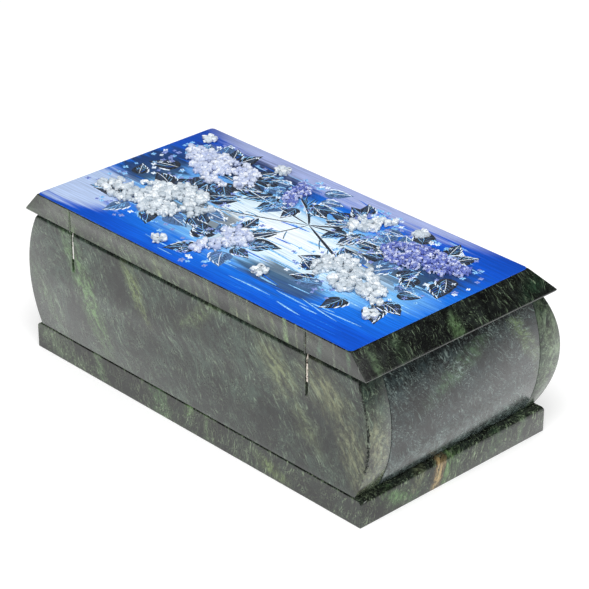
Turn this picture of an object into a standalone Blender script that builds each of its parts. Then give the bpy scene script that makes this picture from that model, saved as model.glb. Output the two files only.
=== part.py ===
"""Carved serpentine box with a bevelled, decorated lid on two riveted leaf hinges.

The box stands on its base plate with +Z up. Its long sides run along X, its front
faces -Y and its hinges are at the back, on +Y. The origin is under the middle of
the whole box, on the surface that it stands on. All lengths are in metres.
"""

import math
import random

import bmesh
import bpy
from mathutils import Matrix, Vector, noise

OBJECT_NAME = "carved_stone_box"

# Clearances
GLUE_LINE = 0.0003
LID_SEAT_GAP = 0.0003
LEAF_SIDE_GAP = 0.0001
LEAF_EDGE_RECESS = 0.00025
FOLD_SIDE_GAP = 0.0002
RIVET_CLEARANCE = 0.00008
RIVET_HEAD_GAP = 0.00005
RIVET_END_GAP = 0.00007
PAINT_SEAT_GAP = 0.0001
CHIP_SEAT_GAP = 0.0001

# Walls, sawn from slab and ground to a bulge on the front and both ends
BODY_LENGTH = 0.1696
BODY_WIDTH = 0.0908
WALL_HEIGHT = 0.0461
WALL_SLAB = 0.0109
BULGE = 0.0061

# Base plate, which stands out past the walls' foot at the front and both ends
BASE_THICKNESS = 0.0108
BASE_STEP = 0.0030
BASE_ROUNDING = 0.0024

# Lid slab, bevelled on the front and both ends, upright at the back
LID_THICKNESS = 0.0093
LID_END_OVERHANG = 0.0052
LID_FRONT_OVERHANG = 0.0032
LID_BACK_OVERHANG = 0.0008
LID_LIP = 0.0034
LID_BEVEL_RUN = 0.0072
LID_ARRIS = 0.0008

# Hinge kerfs, each one plunge of the saw disc through lid and back wall. Both were
# sawn a little towards the right end.
HINGE_FROM_END = 0.0223
HINGE_SHIFT = 0.0013
SAW_RADIUS = 0.0150
KERF_WIDTH = 0.0013
KERF_DEPTH = 0.0065
SAW_BELOW_LID = 0.0043

# Hinge leaves and rivets
PIVOT_INSET = 0.0016
EYE_RADIUS = 0.0013
LID_LEAF_HEIGHT = 0.0062
FOLD_DROP = 0.0022
FOLD_HEIGHT = 0.0071
RIVET_RADIUS = 0.0005
RIVET_HEAD_RADIUS = 0.0010
RIVET_HEAD_THICKNESS = 0.00013

# Painted ground on the lid
PAINT_THICKNESS = 0.00025
PAINT_MARGIN = 0.0002

# Sprays and florets: crushed stone, heaped in a thin bed of glue with a lobed rim
SPRAY_LENGTH = 0.0575
SPRAY_WIDTH = 0.0285
SPRAY_HEIGHT = 0.0026
SPRAY_LOBES = 9
FLORET_SIZE = 0.0080
FLORET_HEIGHT = 0.0018
FLORET_PETALS = 4
BED_THICKNESS = 0.0005
TAPER_RATIO = 0.38
LOBE_RATIO = 0.07

# Chips: tapered blocks of stone on a jittered grid, left out where a spray parts.
# A pair gives the least and the most of a share that varies from chip to chip.
CHIP_SIZE = 0.0025
CHIP_SPACING = 0.0027
CHIP_SINK = 0.0002
CHIP_TOP_RATIO = 0.74
JITTER_RATIO = 0.22
SINK_SHARES = (0.5, 1.5)
SIZE_SHARES = (0.78, 1.08)
TOP_SHARES = (0.84, 1.0)
SLANT_SHARES = (0.08, 0.40)

# Heaps: how high the rim is, how far the core without gaps reaches, how wide the
# clumps are in chips, and the level of noise below which chips are left out
RIM_RATIO = 0.62
CORE_RATIO = 0.30
CLUMP_RATIO = 2.6
GAP_LEVEL = -0.22

# Fineness of the round shapes
BULGE_BANDS = 20
ROUNDING_STEPS = 4
SAW_SIDES = 96
RIVET_SIDES = 24
ARC_STEPS = 10
SPRAY_SIDES = 36
FLORET_SIDES = 16
SHARP_ANGLE = math.radians(32)
SAME_PLACE = 1e-6

# Sizes worked out from those above
BASE_LENGTH = BODY_LENGTH + 2 * BASE_STEP
BASE_WIDTH = BODY_WIDTH + BASE_STEP
LID_LENGTH = BODY_LENGTH + 2 * LID_END_OVERHANG
LID_WIDTH = LID_FRONT_OVERHANG + BODY_WIDTH + LID_BACK_OVERHANG
RIVET_HEAD_X = KERF_WIDTH / 2 - RIVET_END_GAP - RIVET_HEAD_THICKNESS
LEAF_THICKNESS = RIVET_HEAD_X - RIVET_HEAD_GAP - LEAF_SIDE_GAP / 2
FOLD_THICKNESS = KERF_WIDTH - 2 * FOLD_SIDE_GAP
CHIP_REACH = CHIP_SIZE / math.sqrt(2) * SIZE_SHARES[1]
PAINT_LENGTH = LID_LENGTH - 2 * (LID_BEVEL_RUN + PAINT_MARGIN)
PAINT_WIDTH = LID_WIDTH - LID_BEVEL_RUN - 2 * PAINT_MARGIN

# Places worked out from the sizes
BACK_Y = (BODY_WIDTH + BULGE - LID_BACK_OVERHANG) / 2
FRONT_FOOT_Y = BACK_Y - BODY_WIDTH
FRONT_CROWN_Y = FRONT_FOOT_Y - BULGE
END_FOOT_X = BODY_LENGTH / 2
END_CROWN_X = END_FOOT_X + BULGE
FOOT_Z = BASE_THICKNESS + GLUE_LINE
WALL_TOP_Z = FOOT_Z + WALL_HEIGHT
LID_UNDER_Z = WALL_TOP_Z + LID_SEAT_GAP
LID_TOP_Z = LID_UNDER_Z + LID_THICKNESS
LID_BACK_Y = BACK_Y + LID_BACK_OVERHANG
PAINT_MIDDLE_Y = LID_BACK_Y - PAINT_MARGIN - PAINT_WIDTH / 2
PAINT_UNDER_Z = LID_TOP_Z + PAINT_SEAT_GAP
CHIP_UNDER_Z = PAINT_UNDER_Z + PAINT_THICKNESS + CHIP_SEAT_GAP
HINGE_X = END_FOOT_X - HINGE_FROM_END
PIVOT_Y = BACK_Y - PIVOT_INSET
PIVOT_Z = WALL_TOP_Z - PIVOT_INSET
SAW_Y = BACK_Y - KERF_DEPTH + SAW_RADIUS
SAW_Z = LID_UNDER_Z - SAW_BELOW_LID

# Finishes: colour, roughness and metallic value
SERPENTINE = ((0.105, 0.130, 0.095), 0.28, 0.0)
STEEL = ((0.60, 0.60, 0.57), 0.35, 1.0)
PAINT = ((0.020, 0.130, 0.640), 0.35, 0.0)
WHITE_CHIPS = ((0.72, 0.73, 0.76), 0.40, 0.0)
LAVENDER_CHIPS = ((0.55, 0.55, 0.76), 0.40, 0.0)
VIOLET_CHIPS = ((0.16, 0.17, 0.52), 0.40, 0.0)

# The sprays of lilac. Places are shares of the way from the middle of the painted
# ground to its right and back edges, headings are in degrees, and sizes are shares
# of the largest spray's.
# Name, place across and back, heading, length, width, height, finish
SPRAYS = (
    ("white_spray_right", 0.605, 0.322, 16, 1.00, 1.00, 1.00, WHITE_CHIPS),
    ("lavender_spray_right", 0.642, -0.458, -12, 0.87, 0.84, 0.92, LAVENDER_CHIPS),
    ("white_spray_left", -0.581, 0.192, 166, 0.80, 0.80, 1.00, WHITE_CHIPS),
    ("violet_spray_left", -0.678, -0.480, 190, 0.76, 0.71, 0.77, VIOLET_CHIPS),
    ("lavender_spray_back", 0.073, 0.505, 78, 0.55, 0.61, 0.92, LAVENDER_CHIPS),
    ("violet_spray_front", 0.169, -0.596, -48, 0.44, 0.51, 0.77, VIOLET_CHIPS),
    ("white_spray_front", -0.266, -0.620, 232, 0.40, 0.47, 0.85, WHITE_CHIPS),
)

# The loose florets: place across and back as for the sprays, and turn in degrees
FLORETS = (
    (0.266, 0.826, 10),
    (-0.254, 0.620, 35),
    (-0.847, 0.505, 0),
    (0.900, -0.800, 25),
    (0.400, -0.800, 50),
    (-0.484, -0.790, 15),
)


def clear_scene():
    """Remove every object that the file opened with."""
    for item in list(bpy.data.objects):
        bpy.data.objects.remove(item, do_unlink=True)


def new_collection(name):
    """Make a collection and put it in the scene."""
    collection = bpy.data.collections.new(name)
    bpy.context.scene.collection.children.link(collection)
    return collection


def make_material(name, colour, roughness, metallic):
    """Make a Principled material of one colour."""
    material = bpy.data.materials.new(name)
    material.use_nodes = True
    shader = material.node_tree.nodes["Principled BSDF"]
    shader.inputs["Base Color"].default_value = (*colour, 1.0)
    shader.inputs["Roughness"].default_value = roughness
    shader.inputs["Metallic"].default_value = metallic
    return material


def object_from_bmesh(shape, name, collection, location, finish=None):
    """Turn a finished bmesh into an object at a place, with its faces pointing out."""
    bmesh.ops.recalc_face_normals(shape, faces=shape.faces)
    mesh = bpy.data.meshes.new(name)
    shape.to_mesh(mesh)
    shape.free()
    mesh.shade_smooth()
    mesh.set_sharp_from_angle(angle=SHARP_ANGLE)
    item = bpy.data.objects.new(name, mesh)
    item.location = location
    collection.objects.link(item)
    if finish:
        mesh.materials.append(make_material(f"{name}_finish", *finish))
    return item


def box_shape(size):
    """Start a bmesh from a cube stretched to a size, with its middle at the origin."""
    shape = bmesh.new()
    bmesh.ops.create_cube(shape, size=1.0, matrix=Matrix.Diagonal((*size, 1.0)))
    return shape


def same(value, target):
    """Say whether two lengths agree."""
    return abs(value - target) < SAME_PLACE


def edges_where(shape, test):
    """List the edges whose two ends both pass a test on their place."""
    return [edge for edge in shape.edges if all(test(vertex.co) for vertex in edge.verts)]


def round_edges(shape, edges, width, steps):
    """Round edges off, or chamfer them where steps is 1."""
    bmesh.ops.bevel(
        shape,
        geom=edges,
        offset=width,
        offset_type="OFFSET",
        affect="EDGES",
        segments=steps,
        profile=0.5,
        material=-1,
    )


def cut_level(shape, height):
    """Divide a shape's faces along a level plane."""
    bmesh.ops.bisect_plane(
        shape,
        geom=shape.verts[:] + shape.edges[:] + shape.faces[:],
        plane_co=(0.0, 0.0, height),
        plane_no=(0.0, 0.0, 1.0),
    )


def as_cutter(item):
    """Mark an object as a tool that isn't part of the box."""
    item.hide_render = True
    item.display_type = "WIRE"
    return item


def boolean(item, tool, operation, overlapping=False):
    """Add an exact Boolean modifier, and say whether the tool's own solids overlap."""
    modifier = item.modifiers.new(f"{operation.lower()} {tool.name}", "BOOLEAN")
    modifier.object = tool
    modifier.operation = operation
    modifier.solver = "EXACT"
    modifier.use_self = overlapping


def attach(item, parent):
    """Parent an object and keep it where it stands."""
    item.parent = parent
    item.matrix_parent_inverse = Matrix.Translation(parent.location).inverted()


def bulge_at(height):
    """Give how far a ground face stands out at a height above the wall's foot."""
    half_chord = WALL_HEIGHT / 2
    arc_radius = (half_chord**2 + BULGE**2) / (2 * BULGE)
    from_middle = min(abs(height - half_chord), half_chord)
    return math.sqrt(arc_radius**2 - from_middle**2) - (arc_radius - BULGE)


def make_base(collection):
    """Make the base plate, rounded over on top at the front and both ends."""
    size = Vector((BASE_LENGTH, BASE_WIDTH, BASE_THICKNESS))
    shape = box_shape(size)
    top_edges = edges_where(shape, lambda place: same(place.z, size.z / 2))
    back_edges = edges_where(shape, lambda place: same(place.y, size.y / 2))
    rounded = [edge for edge in top_edges if edge not in back_edges]
    round_edges(shape, rounded, BASE_ROUNDING, ROUNDING_STEPS)
    middle = (0.0, BACK_Y - size.y / 2, size.z / 2)
    object_from_bmesh(shape, "base_plate", collection, middle, SERPENTINE)


def make_wall(name, low, high, ground_sides, collection, ease_back_edge=False):
    """Make a wall from a sawn slab and grind the named sides to the bulge.

    The slab stands on the base between two corners, given as X and Y. A ground
    side is "-X", "+X" or "-Y", and its points move out by the bulge at their height.
    """
    size = Vector((high[0] - low[0], high[1] - low[1], WALL_HEIGHT))
    half = size / 2
    shape = box_shape(size)
    if ease_back_edge:
        back_edge = edges_where(shape, lambda place: same(place.y, half.y) and same(place.z, half.z))
        round_edges(shape, back_edge, PIVOT_INSET, ROUNDING_STEPS)
    for band in range(1, BULGE_BANDS):
        cut_level(shape, size.z * (band / BULGE_BANDS - 0.5))
    for vertex in shape.verts:
        out = bulge_at(vertex.co.z + half.z)
        on_left = "-X" in ground_sides and same(vertex.co.x, -half.x)
        on_right = "+X" in ground_sides and same(vertex.co.x, half.x)
        on_front = "-Y" in ground_sides and same(vertex.co.y, -half.y)
        vertex.co.x += out * (on_right - on_left)
        vertex.co.y -= out * on_front
    middle = ((low[0] + high[0]) / 2, (low[1] + high[1]) / 2, FOOT_Z + half.z)
    return object_from_bmesh(shape, name, collection, middle, SERPENTINE)


def make_walls(collection, kerf_tools):
    """Make the walls: front and back run full length, and the ends fit between them."""
    front_inner_y = FRONT_CROWN_Y + WALL_SLAB
    back_inner_y = BACK_Y - WALL_SLAB
    end_inner_x = END_CROWN_X - WALL_SLAB
    end_low_y = front_inner_y + GLUE_LINE
    end_high_y = back_inner_y - GLUE_LINE
    make_wall(
        "front_wall",
        (-END_FOOT_X, FRONT_FOOT_Y),
        (END_FOOT_X, front_inner_y),
        ("-X", "+X", "-Y"),
        collection,
    )
    back_wall = make_wall(
        "back_wall",
        (-END_FOOT_X, back_inner_y),
        (END_FOOT_X, BACK_Y),
        ("-X", "+X"),
        collection,
        ease_back_edge=True,
    )
    for tool in kerf_tools:
        boolean(back_wall, tool, "DIFFERENCE")
    make_wall(
        "left_end_wall",
        (-END_FOOT_X, end_low_y),
        (-end_inner_x, end_high_y),
        ("-X",),
        collection,
    )
    make_wall(
        "right_end_wall",
        (end_inner_x, end_low_y),
        (END_FOOT_X, end_high_y),
        ("+X",),
        collection,
    )


def make_lid_slab(collection, kerf_tools, lid_pivot):
    """Make the lid: a lip all round, and bevels above it at the front and both ends."""
    size = Vector((LID_LENGTH, LID_WIDTH, LID_THICKNESS))
    half = size / 2
    shape = box_shape(size)
    cut_level(shape, LID_LIP - half.z)
    for vertex in shape.verts:
        if same(vertex.co.z, half.z):
            vertex.co.x -= math.copysign(LID_BEVEL_RUN, vertex.co.x)
            if same(vertex.co.y, -half.y):
                vertex.co.y += LID_BEVEL_RUN
    lower_edges = edges_where(shape, lambda place: same(place.z, -half.z))
    round_edges(shape, lower_edges, LID_ARRIS, 1)
    middle = (0.0, LID_BACK_Y - half.y, LID_UNDER_Z + half.z)
    slab = object_from_bmesh(shape, "lid_slab", collection, middle, SERPENTINE)
    for tool in kerf_tools:
        boolean(slab, tool, "DIFFERENCE")
    attach(slab, lid_pivot)


def make_painted_ground(collection, lid_pivot):
    """Make the thin painted ground that covers the lid's flat top."""
    shape = box_shape((PAINT_LENGTH, PAINT_WIDTH, PAINT_THICKNESS))
    middle = (0.0, PAINT_MIDDLE_Y, PAINT_UNDER_Z + PAINT_THICKNESS / 2)
    ground = object_from_bmesh(shape, "painted_ground", collection, middle, PAINT)
    attach(ground, lid_pivot)


def kerf_tool(name, hinge_x, collection):
    """Make the saw disc that cuts one hinge's kerf."""
    shape = bmesh.new()
    bmesh.ops.create_cone(
        shape,
        cap_ends=True,
        segments=SAW_SIDES,
        radius1=SAW_RADIUS,
        radius2=SAW_RADIUS,
        depth=KERF_WIDTH,
        matrix=Matrix.Rotation(math.pi / 2, 4, "Y"),
    )
    return as_cutter(object_from_bmesh(shape, name, collection, (hinge_x, SAW_Y, SAW_Z)))


def arc_points(radius, start, end, steps):
    """List points on an arc round the origin, between two angles in degrees."""
    points = []
    for step in range(steps + 1):
        angle = math.radians(start + (end - start) * step / steps)
        points.append((radius * math.cos(angle), radius * math.sin(angle)))
    return points


def kerf_floor_points(low_z, high_z):
    """List points down a leaf's inner edge, which follows the kerf's curved floor.

    Heights and points are measured from the pivot.
    """
    leaf_radius = SAW_RADIUS - LEAF_EDGE_RECESS
    points = []
    for step in range(ARC_STEPS + 1):
        height = high_z + (low_z - high_z) * step / ARC_STEPS
        from_saw = height + PIVOT_Z - SAW_Z
        edge_y = SAW_Y - math.sqrt(leaf_radius**2 - from_saw**2)
        points.append((edge_y - PIVOT_Y, height))
    return points


def rivet_hole():
    """List the points of the hole in a hinge eye."""
    return arc_points(RIVET_RADIUS + RIVET_CLEARANCE, 0, 360, RIVET_SIDES)[:-1]


def sheet_object(name, outlines, thickness, middle_x, collection, finish=None):
    """Cut a flat sheet to closed outlines and stand it upright across the X axis.

    An outline lists places as Y and Z from the hinge pivot, and a second outline
    inside the first one is a hole.
    """
    curve = bpy.data.curves.new(name, "CURVE")
    curve.dimensions = "2D"
    curve.fill_mode = "BOTH"
    curve.extrude = thickness / 2
    for outline in outlines:
        spline = curve.splines.new("POLY")
        spline.points.add(len(outline) - 1)
        for point, place in zip(spline.points, outline):
            point.co = (*place, 0.0, 1.0)
        spline.use_cyclic_u = True
    drawn = bpy.data.objects.new(name, curve)
    bpy.context.scene.collection.objects.link(drawn)
    drawn.location = (middle_x, PIVOT_Y, PIVOT_Z)
    drawn.rotation_euler = (math.pi / 2, 0.0, math.pi / 2)
    bpy.context.view_layer.update()
    evaluated = drawn.evaluated_get(bpy.context.evaluated_depsgraph_get())
    mesh = bpy.data.meshes.new_from_object(evaluated)
    placed = drawn.matrix_world.copy()
    bpy.data.objects.remove(drawn, do_unlink=True)
    shape = bmesh.new()
    shape.from_mesh(mesh)
    bpy.data.meshes.remove(mesh)
    bmesh.ops.remove_doubles(shape, verts=shape.verts, dist=SAME_PLACE)
    sheet = object_from_bmesh(shape, name, collection, (0.0, 0.0, 0.0), finish)
    sheet.matrix_world = placed
    return sheet


def lid_leaf_outline():
    """Draw the lid leaf: an eye, a neck, and a plate that fills the lid's kerf."""
    under_z = LID_UNDER_Z - PIVOT_Z
    plate_low_z = under_z + LEAF_EDGE_RECESS
    plate_high_z = under_z + LID_LEAF_HEIGHT
    plate_back_y = LID_BACK_Y - LEAF_EDGE_RECESS - PIVOT_Y
    eye = arc_points(EYE_RADIUS, 180, 360, ARC_STEPS)
    back_edge = [
        (EYE_RADIUS, under_z),
        (plate_back_y, under_z + plate_back_y - EYE_RADIUS),
        (plate_back_y, plate_high_z),
    ]
    front_edge = kerf_floor_points(plate_low_z, plate_high_z)
    return eye + back_edge + front_edge + [(-EYE_RADIUS, plate_low_z)]


def tongue_outline():
    """Draw the single tongue of the body leaf, from its eye down into the fold."""
    eye = arc_points(EYE_RADIUS, 0, 180, ARC_STEPS)
    low_z = -FOLD_DROP - EYE_RADIUS
    return eye + [(-EYE_RADIUS, low_z), (EYE_RADIUS, low_z)]


def fold_outline():
    """Draw the body leaf's folded lower part, which fills the wall's kerf."""
    high_z = -FOLD_DROP
    low_z = -FOLD_DROP - FOLD_HEIGHT
    back_y = BACK_Y - LEAF_EDGE_RECESS - PIVOT_Y
    return kerf_floor_points(low_z, high_z) + [(back_y, low_z), (back_y, high_z)]


def make_rivet(name, hinge_x, collection):
    """Turn a rivet with a head outside each leaf, and lay it along the hinge axis."""
    end_x = RIVET_HEAD_X + RIVET_HEAD_THICKNESS
    profile = (
        (0.0, end_x),
        (RIVET_HEAD_RADIUS, end_x),
        (RIVET_HEAD_RADIUS, RIVET_HEAD_X),
        (RIVET_RADIUS, RIVET_HEAD_X),
        (RIVET_RADIUS, -RIVET_HEAD_X),
        (RIVET_HEAD_RADIUS, -RIVET_HEAD_X),
        (RIVET_HEAD_RADIUS, -end_x),
        (0.0, -end_x),
    )
    shape = bmesh.new()
    points = [shape.verts.new((radius, 0.0, along)) for radius, along in profile]
    for start, end in zip(points, points[1:]):
        shape.edges.new((start, end))
    rivet = object_from_bmesh(shape, name, collection, (hinge_x, PIVOT_Y, PIVOT_Z), STEEL)
    rivet.rotation_euler = (0.0, math.pi / 2, 0.0)
    turning = rivet.modifiers.new("turn the rivet", "SCREW")
    turning.steps = RIVET_SIDES
    turning.render_steps = RIVET_SIDES
    turning.use_merge_vertices = True
    turning.merge_threshold = SAME_PLACE


def make_hinge(side, hinge_x, parts, cutters, lid_pivot):
    """Make one hinge: the lid's leaf, the wall's folded leaf, and their rivet."""
    leaf_offset = (LEAF_SIDE_GAP + LEAF_THICKNESS) / 2
    lid_leaf = sheet_object(
        f"hinge_{side}_lid_leaf",
        (lid_leaf_outline(), rivet_hole()),
        LEAF_THICKNESS,
        hinge_x - leaf_offset,
        parts,
        STEEL,
    )
    attach(lid_leaf, lid_pivot)
    body_leaf = sheet_object(
        f"hinge_{side}_body_leaf",
        (fold_outline(),),
        FOLD_THICKNESS,
        hinge_x,
        parts,
        STEEL,
    )
    tongue = sheet_object(
        f"hinge_{side}_tongue",
        (tongue_outline(), rivet_hole()),
        LEAF_THICKNESS,
        hinge_x + leaf_offset,
        cutters,
    )
    boolean(body_leaf, as_cutter(tongue), "UNION")
    make_rivet(f"hinge_{side}_rivet", hinge_x, parts)


def bed_shape(size, taper, lobes, sides):
    """Start a bmesh from a thin disc, stretched and tapered, with a lobed rim."""
    shape = bmesh.new()
    bmesh.ops.create_cone(
        shape,
        cap_ends=True,
        segments=sides,
        radius1=1.0,
        radius2=1.0,
        depth=BED_THICKNESS,
        matrix=Matrix.Translation((0.0, 0.0, BED_THICKNESS / 2)),
    )
    for vertex in shape.verts:
        around = math.atan2(vertex.co.y, vertex.co.x)
        lobe = 1.0 + LOBE_RATIO * math.cos(lobes * around)
        vertex.co.y *= size.y / 2 * lobe * (1.0 - taper * vertex.co.x)
        vertex.co.x *= size.x / 2 * lobe
    return shape


def spray_places(size, draw):
    """List where the chips of a spray lie, and how high each one's top stands.

    The grid is staggered and jittered, and its chips stay clear of the bed's rim.
    The heap is highest in the middle, and a slow noise leaves chips out nearer its
    rim, so that it parts into clumps.
    """
    row_spacing = CHIP_SPACING * math.sqrt(3) / 2
    columns = math.ceil(size.x / CHIP_SPACING / 2)
    rows = math.ceil(size.y / row_spacing)
    inside_rim = 1.0 - LOBE_RATIO
    half_length = size.x / 2 * inside_rim - CHIP_REACH
    noise_start = Vector((draw.uniform(0, 100), draw.uniform(0, 100), 0.0))
    places = []
    for row in range(-rows, rows + 1):
        for column in range(-columns, columns + 1):
            shift_x = row % 2 / 2 + draw.uniform(-JITTER_RATIO, JITTER_RATIO)
            shift_y = draw.uniform(-JITTER_RATIO, JITTER_RATIO)
            uneven = draw.uniform(*TOP_SHARES)
            place_x = (column + shift_x) * CHIP_SPACING
            place_y = (row + shift_y) * row_spacing
            narrowing = 1.0 - TAPER_RATIO * place_x / half_length
            half_width = size.y / 2 * inside_rim * narrowing - CHIP_REACH
            outward = math.hypot(place_x / half_length, place_y / half_width)
            in_chips = Vector((place_x, place_y, 0.0)) / CHIP_SPACING
            clump = noise.noise(noise_start + in_chips / CLUMP_RATIO)
            if outward < 1.0 and (clump > GAP_LEVEL or outward < CORE_RATIO):
                dome = RIM_RATIO + (1.0 - RIM_RATIO) * math.sqrt(1.0 - outward**2)
                places.append((place_x, place_y, size.z * dome * uneven))
    return places


def petal_places(size, draw):
    """List where the chips of a floret lie, one for each petal, and their heights."""
    ring = size.x / 2 * (1.0 - LOBE_RATIO) - CHIP_REACH
    places = []
    for petal in range(FLORET_PETALS):
        around = math.tau * petal / FLORET_PETALS
        top = size.z * draw.uniform(*TOP_SHARES)
        places.append((ring * math.cos(around), ring * math.sin(around), top))
    return places


def add_chip(shape, place_x, place_y, top, draw):
    """Add one chip: a tapered block, sunk in the bed, with a slanting top face."""
    foot = CHIP_SINK * draw.uniform(*SINK_SHARES)
    height = top - foot
    place = Vector((place_x, place_y, foot + height / 2))
    turn = Matrix.Rotation(draw.uniform(0.0, math.pi), 4, "Z")
    width_share = draw.uniform(*SIZE_SHARES)
    depth_share = draw.uniform(*SIZE_SHARES)
    stretch = Matrix.Diagonal((width_share, depth_share, 1.0, 1.0))
    made = bmesh.ops.create_cone(
        shape,
        cap_ends=True,
        segments=4,
        radius1=CHIP_SIZE / math.sqrt(2),
        radius2=CHIP_SIZE / math.sqrt(2) * CHIP_TOP_RATIO,
        depth=height,
        matrix=Matrix.Translation(place) @ turn @ stretch,
    )
    steepness = draw.uniform(*SLANT_SHARES) * height / CHIP_SIZE
    slant = Matrix.Rotation(draw.uniform(0.0, math.tau), 2) @ Vector((steepness, 0.0))
    upper = [vertex for vertex in made["verts"] if vertex.co.z > place.z]
    highest = max((vertex.co - place).xy.dot(slant) for vertex in upper)
    for vertex in upper:
        vertex.co.z += (vertex.co - place).xy.dot(slant) - highest


def make_heap(name, place, heading, bed, places, draw, finish, parts, cutters, lid_pivot):
    """Make one heap of stone chips on the painted ground, fused with its bed of glue.

    The place is a share of the way from the middle of the painted ground to its
    right and back edges.
    """
    middle_x = place[0] * PAINT_LENGTH / 2
    middle_y = PAINT_MIDDLE_Y + place[1] * PAINT_WIDTH / 2
    middle = (middle_x, middle_y, CHIP_UNDER_Z)
    chips = bmesh.new()
    for place_x, place_y, top in places:
        add_chip(chips, place_x, place_y, top, draw)
    tool = as_cutter(object_from_bmesh(chips, f"{name}_chips", cutters, middle))
    heap = object_from_bmesh(bed, name, parts, middle, finish)
    boolean(heap, tool, "UNION", overlapping=True)
    for item in (tool, heap):
        item.rotation_euler = (0.0, 0.0, math.radians(heading))
    attach(heap, lid_pivot)


def make_chip_work(parts, cutters, lid_pivot):
    """Make the sprays of lilac and the loose florets in crushed stone."""
    for name, across, back, heading, length, width, height, finish in SPRAYS:
        size = Vector((SPRAY_LENGTH * length, SPRAY_WIDTH * width, SPRAY_HEIGHT * height))
        bed = bed_shape(size, TAPER_RATIO, SPRAY_LOBES, SPRAY_SIDES)
        draw = random.Random(name)
        places = spray_places(size, draw)
        make_heap(name, (across, back), heading, bed, places, draw, finish, parts, cutters, lid_pivot)
    size = Vector((FLORET_SIZE, FLORET_SIZE, FLORET_HEIGHT))
    for number, (across, back, turn) in enumerate(FLORETS, start=1):
        name = f"loose_floret_{number}"
        bed = bed_shape(size, 0.0, FLORET_PETALS, FLORET_SIDES)
        draw = random.Random(name)
        places = petal_places(size, draw)
        make_heap(name, (across, back), turn, bed, places, draw, WHITE_CHIPS, parts, cutters, lid_pivot)


def main():
    """Build the whole box."""
    clear_scene()
    parts = new_collection(OBJECT_NAME)
    cutters = new_collection("cutters")
    lid_pivot = bpy.data.objects.new("lid_pivot", None)
    lid_pivot.location = (0.0, PIVOT_Y, PIVOT_Z)
    parts.objects.link(lid_pivot)
    hinges = {"left": HINGE_SHIFT - HINGE_X, "right": HINGE_SHIFT + HINGE_X}
    kerf_tools = [kerf_tool(f"{side}_kerf", place, cutters) for side, place in hinges.items()]
    make_base(parts)
    make_walls(parts, kerf_tools)
    make_lid_slab(parts, kerf_tools, lid_pivot)
    make_painted_ground(parts, lid_pivot)
    for side, place in hinges.items():
        make_hinge(side, place, parts, cutters, lid_pivot)
    make_chip_work(parts, cutters, lid_pivot)


main()
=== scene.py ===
"""Dressed model of a serpentine box with a lilac panel painted and chipped on its lid.

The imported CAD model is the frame, and everything is in metres. The stone pieces are
copies of its solids with eased arrises, separate chips replace its mounds of chips,
and every piece gets a procedural finish. The box stands on z = 0, its hinges are at
the back, on +Y, and the camera looks at its back and left end.
"""

import logging
import math
import random
from collections.abc import Callable
from dataclasses import dataclass, field, replace
from enum import Enum

import bmesh
import bpy
from mathutils import Matrix, Vector
from mathutils.bvhtree import BVHTree


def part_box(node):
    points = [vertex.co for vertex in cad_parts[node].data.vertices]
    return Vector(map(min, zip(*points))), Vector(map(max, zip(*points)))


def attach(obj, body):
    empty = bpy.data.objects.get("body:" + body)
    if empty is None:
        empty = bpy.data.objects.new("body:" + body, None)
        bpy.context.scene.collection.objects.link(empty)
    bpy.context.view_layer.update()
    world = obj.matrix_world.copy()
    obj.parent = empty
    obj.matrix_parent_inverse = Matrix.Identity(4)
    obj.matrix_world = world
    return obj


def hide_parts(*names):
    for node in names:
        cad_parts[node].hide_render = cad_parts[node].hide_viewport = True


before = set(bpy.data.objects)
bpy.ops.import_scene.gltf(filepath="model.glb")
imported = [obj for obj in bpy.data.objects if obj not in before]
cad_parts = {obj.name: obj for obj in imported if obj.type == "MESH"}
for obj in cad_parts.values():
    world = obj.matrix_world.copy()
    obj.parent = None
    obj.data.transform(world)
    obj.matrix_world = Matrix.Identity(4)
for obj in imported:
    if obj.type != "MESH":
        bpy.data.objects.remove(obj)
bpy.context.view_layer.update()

log = logging.getLogger("serpentine_box")

MM = 0.001
Triple = tuple[float, float, float]
Place = tuple[float, float]

ORIGIN = (0.0, 0.0, 0.0)
UP = (0.0, 0.0, 1.0)
PER_MM = (1 / MM, 1 / MM, 1 / MM)
NOISE_MIDDLE = (0.5, 0.5, 0.5)
WHITE_LIGHT = (1.0, 1.0, 1.0, 1.0)


def seen(red: float, green: float, blue: float) -> tuple[float, float, float, float]:
    """Turn a colour as it is seen, from 0 to 255, into the linear colour that shaders take.

    Args:
        red: Share of red.
        green: Share of green.
        blue: Share of blue.

    Returns:
        The linear colour with full alpha.
    """
    linear = []
    for share in (red / 255, green / 255, blue / 255):
        linear.append(share / 12.92 if share <= 0.04045 else ((share + 0.055) / 1.055) ** 2.4)
    return (*linear, 1.0)


class Body(Enum):
    """The two bodies of the box."""

    BOX = "body"
    LID = "lid"


class Slot(Enum):
    """The material slots."""

    BASE = "base_stone"
    WALL = "wall_stone"
    LID = "lid_stone"
    STEEL = "hinge_steel"
    PAINT = "ground_paint"
    WHITE = "white_chips"
    LAVENDER = "lavender_chips"
    VIOLET = "violet_chips"


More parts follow.
